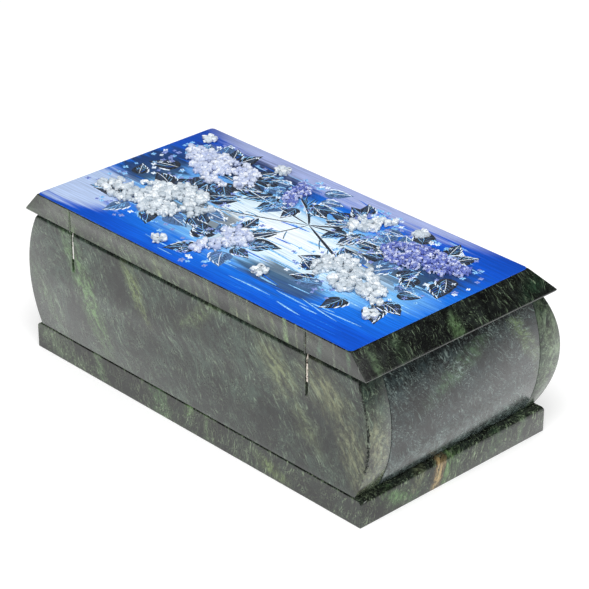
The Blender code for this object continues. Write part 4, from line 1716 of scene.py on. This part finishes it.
# Veins of the base plate, and one painted highlight on its back left corner.
BASE_VEINS_AND_PAINTED_GLINT = (
    Vein((16.0, 48.0, 6.0), (0.3, 0.0, 0.95), 11.0, (0.95, 0.0, -0.3), 7.0, seen(78, 106, 72), 0.85),
    Vein((-43.0, 48.0, 4.0), (0.95, 0.0, 0.3), 11.0, (-0.3, 0.0, 0.95), 3.4, seen(104, 122, 74), 0.9, 4.0),
    Vein((75.0, 48.0, 5.0), (0.95, 0.0, 0.3), 26.0, (-0.3, 0.0, 0.95), 6.0, seen(92, 110, 82), 0.7),
    Vein((-87.0, 9.3, 6.0), (0.0, -0.35, 0.93), 12.0, (0.0, 0.93, 0.35), 3.0, seen(166, 142, 98), 1.0, 3.0),
    Vein((-87.0, 1.5, 6.0), (0.0, -0.3, 0.95), 11.0, (0.0, 0.95, 0.3), 3.0, seen(70, 96, 58), 0.9, 3.0),
    Vein((-87.0, -19.0, 7.0), (0.0, -0.2, 0.97), 10.0, (0.0, 0.97, 0.2), 2.8, seen(56, 80, 54), 0.85, 4.0),
    Vein((-87.0, -33.0, 7.0), (0.0, -0.3, 0.95), 10.0, (0.0, 0.95, 0.3), 2.2, seen(74, 94, 68), 0.8, 4.0),
    Vein((-87.0, 29.0, 4.0), (0.0, 0.9, 0.3), 12.0, (0.0, -0.3, 0.9), 5.0, seen(84, 116, 72), 0.95, 10.0),
    Vein((-87.0, 20.0, 7.0), (0.0, -0.5, 0.86), 10.0, (0.0, 0.86, 0.5), 3.0, seen(104, 112, 84), 0.9, 5.0),
    Vein((-87.0, 44.0, 6.0), (0.0, 0.2, 1.0), 12.0, (0.0, 1.0, -0.2), 5.0, seen(8, 9, 9), 0.9, 5.0, 6.0),
    Vein((-87.0, -8.0, 5.0), (0.0, -0.3, 0.95), 10.0, (0.0, 0.95, 0.3), 4.5, seen(9, 10, 10), 0.9, 5.0),
    Vein((-87.0, -40.0, 6.0), (0.0, -0.3, 0.95), 10.0, (0.0, 0.95, 0.3), 4.5, seen(9, 10, 10), 0.85, 5.0),
    # Painted highlight on the base's top arris, at its back left corner.
    Vein((-87.2, 45.6, 9.6), (0.0, 1.0, -0.2), 2.2, (0.0, 0.2, 1.0), 0.3, BASE_PAINTED_GLINT, 0.9, 0.8, 1.0),
    Vein((-87.0, 5.0, 6.0), (0.0, -0.35, 0.93), 11.0, (0.0, 0.93, 0.35), 1.8, seen(110, 146, 88), 0.95, 3.0),
    Vein((50.0, 48.0, 6.0), (0.4, 0.0, 0.9), 12.0, (0.9, 0.0, -0.4), 4.0, seen(84, 106, 76), 0.8, 6.0),
    Vein((-10.0, 48.0, 6.0), (0.3, 0.0, 0.95), 10.0, (0.95, 0.0, -0.3), 4.0, seen(72, 92, 62), 0.8, 6.0),
)

STONES = {
    "back_wall": Serpentine(
        "back_wall_serpentine",
        vein_share=0.50,
        fibre_share=0.62,
        cloud_scale=0.055,
        shift=(12.0, 0.0, 5.0),
        turn=(0.0, 0.90, 0.0),
        veins=BACK_VEINS,
        **GREY_GREEN,
    ),
    "front_wall": Serpentine(
        "front_wall_serpentine",
        vein_share=0.62,
        fibre_share=0.6,
        cloud_scale=0.055,
        shift=(61.0, 140.0, 22.0),
        turn=(0.2, 0.6, 0.3),
        veins=FRONT_VEINS,
        **GREY_GREEN,
    ),
    "left_end_wall": Serpentine(
        "left_end_wall_serpentine",
        deep=seen(14, 18, 19),
        ground=seen(34, 44, 45),
        vein=seen(54, 74, 54),
        fibre=seen(138, 156, 150),
        vein_share=0.22,
        fibre_share=0.66,
        cloud_scale=0.08,
        shift=(0.0, 33.0, 71.0),
        turn=(-1.07, 0.0, -1.57),
        veins=END_VEINS_AND_PAINTED_LIGHT,
        curl=1.0,
    ),
    "right_end_wall": Serpentine(
        "right_end_wall_serpentine",
        deep=seen(22, 25, 25),
        ground=seen(42, 49, 46),
        vein=seen(74, 92, 62),
        fibre=seen(128, 142, 128),
        vein_share=0.5,
        fibre_share=0.62,
        cloud_scale=0.07,
        shift=(0.0, -45.0, 12.0),
        turn=(-0.5, 0.0, 0.9),
    ),
    "lid_slab": Serpentine(
        "lid_serpentine",
        deep=seen(9, 11, 11),
        ground=seen(23, 28, 25),
        vein=seen(50, 70, 46),
        fibre=seen(138, 160, 128),
        vein_share=0.36,
        fibre_share=0.40,
        cloud_scale=0.07,
        shift=(-25.0, 18.0, 9.0),
        turn=(0.0, 0.86, -0.1),
        veins=LID_VEINS_AND_PAINTED_GLINT,
    ),
    "base_plate": Serpentine(
        "base_serpentine",
        deep=seen(9, 11, 10),
        ground=seen(34, 44, 36),
        vein=seen(84, 112, 68),
        fibre=seen(158, 178, 142),
        vein_share=0.56,
        fibre_share=0.62,
        cloud_scale=0.075,
        shift=(40.0, -22.0, -31.0),
        turn=(-1.88, 0.2, -1.57),
        veins=BASE_VEINS_AND_PAINTED_GLINT,
    ),
}

STEELS = {
    "left": Steel("darkened_sheet_steel", seen(206, 198, 186), seen(84, 70, 58), (0.44, 0.66)),
    "right": Steel("bright_sheet_steel", seen(214, 214, 208), seen(132, 122, 108), (0.50, 0.72)),
}

CHIP_FINISHES = {
    Slot.WHITE: ChipFinish(
        "white_chip_stone", seen(178, 190, 200), seen(204, 213, 221), seen(236, 241, 245)
    ),
    Slot.LAVENDER: ChipFinish(
        "lavender_chip_stone", seen(172, 184, 216), seen(200, 209, 228), seen(232, 236, 244)
    ),
    Slot.VIOLET: ChipFinish(
        "violet_chip_stone", seen(84, 100, 182), seen(136, 152, 214), seen(210, 217, 240)
    ),
}
ARRIS_FINISH = StrokeFinish("chipped_arris_stone", seen(18, 20, 19), seen(46, 52, 46), 0.9)

PAINTS = {
    Tone.CHARCOAL: StrokeFinish("charcoal_paint", seen(34, 36, 40), seen(58, 66, 80)),
    Tone.SLATE: StrokeFinish("slate_paint", seen(64, 92, 132), seen(88, 120, 164)),
    Tone.AZURE: StrokeFinish("azure_paint", seen(22, 116, 224), seen(6, 86, 200)),
    Tone.SKY: StrokeFinish("sky_paint", seen(156, 206, 242), seen(96, 164, 226)),
    Tone.IRIS: StrokeFinish("iris_paint", seen(104, 120, 194), seen(146, 164, 216)),
    Tone.SNOW: StrokeFinish("snow_paint", seen(240, 246, 252), seen(204, 224, 244)),
}

WASH = SkyWash(
    "sky_wash",
    middle=(0.0, 5.05 * MM),
    half=(82.6 * MM, 43.6 * MM),
    glow_middle=(-0.04, 0.06),
    glow_half=(1.0, 0.70),
    wash=(
        (0.0, seen(242, 248, 252)),
        (1.0, seen(0, 62, 166)),
        (0.26, seen(208, 231, 246)),
        (0.38, seen(112, 178, 234)),
        (0.50, seen(14, 108, 216)),
        (0.68, seen(0, 80, 200)),
    ),
    patches=(
        ((0.10, -0.98), (0.95, 0.26), 0.85, seen(176, 188, 228)),
        ((0.92, 0.60), (0.30, 0.42), 0.80, seen(196, 214, 238)),
        ((-0.66, -0.34), (0.34, 0.44), 0.84, seen(36, 48, 72)),
        ((0.50, -0.62), (0.46, 0.26), 0.84, seen(36, 48, 72)),
        ((0.34, 0.26), (0.30, 0.26), 0.75, seen(60, 70, 84)),
        ((-0.36, 0.58), (0.28, 0.22), 0.75, seen(50, 58, 70)),
        ((0.86, -0.10), (0.18, 0.46), 0.80, seen(36, 48, 72)),
    ),
)

WHITE_CHIPS = ChipKind(Slot.WHITE, 1.34, (1.0 * MM, 1.7 * MM), 1.30 * MM, 0.35 * MM, True)
LAVENDER_CHIPS = ChipKind(Slot.LAVENDER, 1.28, (0.9 * MM, 1.6 * MM), 1.20 * MM, 0.35 * MM, True)
VIOLET_CRUMBS = ChipKind(Slot.VIOLET, 0.0, (0.7 * MM, 1.2 * MM), 0.72 * MM, 0.50 * MM, False)

SPRAYS = (
    ChipMound("white_spray_right", WHITE_CHIPS),
    ChipMound("lavender_spray_right", LAVENDER_CHIPS),
    ChipMound("white_spray_left", WHITE_CHIPS),
    ChipMound("violet_spray_left", VIOLET_CRUMBS),
    ChipMound("lavender_spray_back", LAVENDER_CHIPS),
    ChipMound("violet_spray_front", VIOLET_CRUMBS),
    ChipMound("white_spray_front", WHITE_CHIPS),
)
FLORETS = tuple(ChipMound(f"loose_floret_{number}", WHITE_CHIPS) for number in range(1, 7))


def main() -> None:
    """Build the dressed box and its studio."""
    logging.basicConfig(level=logging.INFO, format="%(name)s: %(message)s")
    figure = make_figure_group()
    placed = make_placed_vein_group()
    hinges = Hinges(STEELS)
    kerfs = hinges.places()
    body = StoneBody(
        (
            StonePiece("base_plate", Body.BOX, Slot.BASE, STONES["base_plate"]),
            StonePiece("front_wall", Body.BOX, Slot.WALL, STONES["front_wall"]),
            StonePiece("back_wall", Body.BOX, Slot.WALL, STONES["back_wall"]),
            StonePiece("left_end_wall", Body.BOX, Slot.WALL, STONES["left_end_wall"], easing=0.05 * MM),
            StonePiece("right_end_wall", Body.BOX, Slot.WALL, STONES["right_end_wall"], easing=0.05 * MM),
        )
    )
    body.build(kerfs, figure, placed)
    LidSlab("lid_slab", Body.LID, Slot.LID, STONES["lid_slab"]).build(kerfs, figure, placed)
    hinges.dress()
    glue_look = replace(STONES["lid_slab"], name="kerf_glue_serpentine")
    hinges.glue(glue_look.material(figure, placed))
    low, high = Panel().build(WASH.material())
    paints = {tone: finish.material() for tone, finish in PAINTS.items()}
    Bouquet().paint(low, high, [spray.oval() for spray in SPRAYS], paints)
    ChippedArris().build(ARRIS_FINISH.material())
    chips = {slot: finish.material() for slot, finish in CHIP_FINISHES.items()}
    for mound in SPRAYS + FLORETS:
        mound.build(chips[mound.kind.slot])
    Studio().build()


if __name__ == "__main__":
    main()
